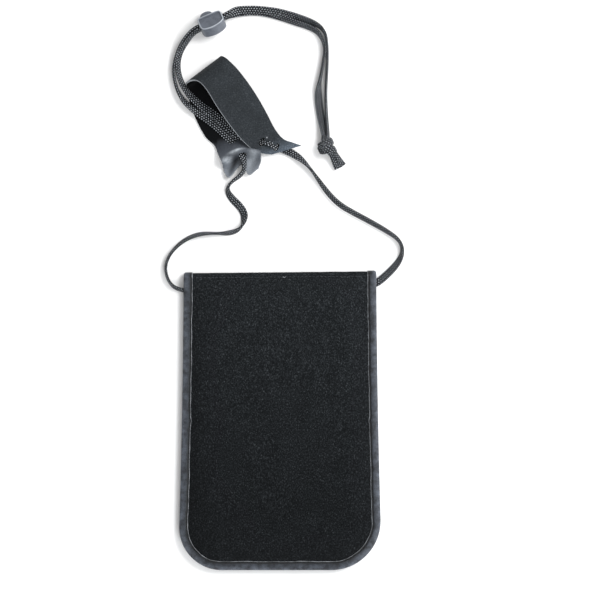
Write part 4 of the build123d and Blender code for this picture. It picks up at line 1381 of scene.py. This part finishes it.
spine_low, spine_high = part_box("fold_spine")
fold_x = np.linspace(spine_low.x - 0.2 * MM, spine_high.x + 0.2 * MM, 100)
fold_piece(
    "fold_cloth",
    fold_x,
    spine_low.z,
    spine_high.z,
    1.0 * MM,
    0.15 * MM,
    lambda x: np.abs(ripple(x, (37 * MM, 0.05 * MM, 0.4), (11 * MM, 0.03 * MM, 1.4))),
    ["panel"],
    "panel_fabric",
    replaces=["fold_spine"],
)
for side, side_name in ((-1, "left"), (1, "right")):
    outer_x = side * (TOP_HALF_WIDTH - 0.05 * MM)
    inner_x = side * (TOP_HALF_WIDTH - TAPE_WIDTH)
    x = np.sort(np.linspace(inner_x, outer_x, 19))
    share = np.abs(x - inner_x) / TAPE_WIDTH
    y_line, z_line = fold_path(0.0, TURN_HIGH.z, 0.1 * MM)
    along = distances(np.stack([y_line, z_line], 1))
    fold_piece(
        f"fold_tape_{side_name}",
        x,
        0.0,
        TURN_HIGH.z,
        1.7 * MM,
        0.1 * MM,
        lambda x: 0.9 * MM * ease(TOP_HALF_WIDTH - 1.8 * MM, TOP_HALF_WIDTH + 0.1 * MM, np.abs(x)) ** 2,
        ["tape"],
        "binding_tape",
        layers=[("tape", uv_points(along[:, None], share))],
        replaces=["binding_turns"] if side == -1 else [],
    )

seam_x = np.linspace(-SEAM_HALF_LENGTH, SEAM_HALF_LENGTH, 117)
seam_y = np.full_like(seam_x, FOLD_Y - 0.2 * MM)
seam = lean(np.stack([seam_x, seam_y, np.full_like(seam_x, spine_high.z + 0.05 * MM)], 1))
stitch_row("top_stitches", seam, "pale_thread", "flap", 2.6 * MM, 0.04 * MM, length=1.9 * MM)

# A small tack near the middle of the fold, and a small pale speck beside the pad's upper slit, made of two
# tiny stitches
FOLD_TACK = np.array((2.8, 96.2, 5.5)) * MM
tack_ways = np.array([(1.0, -0.5, 0.05), (1.0, 0.6, 0.05)])
tack_places = FOLD_TACK + np.array([(-0.5, 0, 0), (0.5, 0, 0)]) * MM
stitches("fold_tack", tack_places, tack_ways, "pad_edge", "flap", 1.2 * MM, 0.32 * MM, 0.3 * MM)
PAD_PALE_SPECK = np.array((-8.6, 189.7)) * MM
upper_leaf = pad_grid[PAD_ROWS // 2 :].reshape(-1, 3)
near_speck = upper_leaf[np.argmin(np.hypot(*(upper_leaf[:, :2] - PAD_PALE_SPECK).T))]
speck_ways = np.array([(0.5, 1.0, 0.5), (-1.0, 0.6, 0.4)])
speck_places = np.repeat(near_speck[None, :], 2, 0) + np.array((0, 0, PAD_THICKNESS + 0.3 * MM))
stitches("pad_thread", speck_places, speck_ways, "pad_edge", "pouch", 1.3 * MM, 0.6 * MM, 0.5 * MM)


# ---------------------------------------------------------------- hook-and-loop patches and zip tapes


def box_grid(low, high, columns, rows):
    """The x and y of a grid of points that fills a box."""
    return np.meshgrid(np.linspace(low.x, high.x, columns), np.linspace(low.y, high.y, rows))


def patch(name, node, material, slot, body, facing, post_height, sway, pitch):
    """A sewn patch with rows of nylon posts, facing up (+1) or down (-1)."""
    low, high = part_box(node)
    base_z = low.z if facing > 0 else high.z
    base = 0.25 * MM
    points, faces = [], []
    gx, gy = box_grid(low, high, 30, 18)
    rough = 0.03 * MM * dice.standard_normal(gx.shape)
    top = np.stack([gx, gy, base_z + facing * (base + rough)], -1)
    bottom = np.stack([gx, gy, np.full_like(gx, base_z)], -1)
    if facing < 0:
        top, bottom = bottom, top
    thick_sheet(name + "_base", top, bottom, [material], body, slot, replaces=[node])
    shape = [(0.0, 1.0), (0.55, 0.8), (0.85, 0.75), (1.0, 0.4)]
    angles = np.linspace(0, 2 * np.pi, 5, endpoint=False)
    radius = 0.13 * MM
    for py in np.arange(low.y + 1.0 * MM, high.y - 0.8 * MM, pitch):
        for px in np.arange(low.x + 1.0 * MM, high.x - 0.8 * MM, pitch):
            tip = dice.uniform(-1, 1, 2) * sway
            first = len(points)
            for up, fat in shape:
                centre = np.array((px, py)) + tip * up**2
                for a in angles:
                    ring = centre + radius * fat * np.array((np.cos(a), facing * np.sin(a)))
                    points.append((*ring, base_z + facing * (base * 0.8 + up * post_height)))
            faces += capped_faces(len(shape), len(angles), first)
    make_piece(name + "_posts", points, faces, [material], body, slot)
    z = base_z + facing * (base + 0.08 * MM)
    corners = [(low.x, low.y), (high.x, low.y), (high.x, high.y), (low.x, high.y), (low.x, low.y)]
    inset = np.sign(np.array(corners) - ((low.x + high.x) / 2, (low.y + high.y) / 2)) * 0.6 * MM
    line = np.array([(*corner, z) for corner in np.array(corners) - inset])
    stitch_row(name + "_stitches", line, "thread", body, 2.3 * MM, length=1.6 * MM)


patch("hook_tape", "hook_patch", "hook", "hook_tape", "pouch", 1, 0.36 * MM, 0.25 * MM, 1.15 * MM)
patch("loop_tape", "loop_patch", "loop", "loop_tape", "flap", -1, 0.28 * MM, 0.6 * MM, 0.95 * MM)

for node in ("zip_tape_upper", "zip_tape_lower"):
    low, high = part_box(node)
    gx, gy = box_grid(low, high, 120, 14)
    wave = np.abs(ripple(gx + 0.4 * gy, (29 * MM, 0.03 * MM, 0.2), (13 * MM, 0.02 * MM, 1.0)))
    upper = np.stack([gx, gy, high.z - wave], -1)
    lower = np.stack([gx, gy, np.full_like(gx, low.z)], -1)
    thick_sheet(node + "_cloth", upper, lower, ["zip_tape"], "pouch", "zip_tape", replaces=[node])


# ---------------------------------------------------------------- finish

KEPT_NODES = {
    "zip_teeth_upper": "teeth",
    "zip_teeth_lower": "teeth",
    "zip_stops": "zip_metal",
    "zip_slider": "zip_metal",
    "zip_pull": "zip_metal",
    "lock_spring": "steel",
}
for node, material in KEPT_NODES.items():
    for each in frame["nodes"][node].material_slots:
        each.material = MATERIALS[material]

cord_fittings = [frame["nodes"]["lock_spring"], pad]
near_cord = ("knot_", "cord_tail_", "lock_shell", "lock_plunger")
cord_fittings += [each for each in bpy.data.objects if each.name.startswith(near_cord)]
for piece, line in cords.values():
    [tuple(p) for p in line[::6]] + [tuple(line[-1])]

low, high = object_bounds()
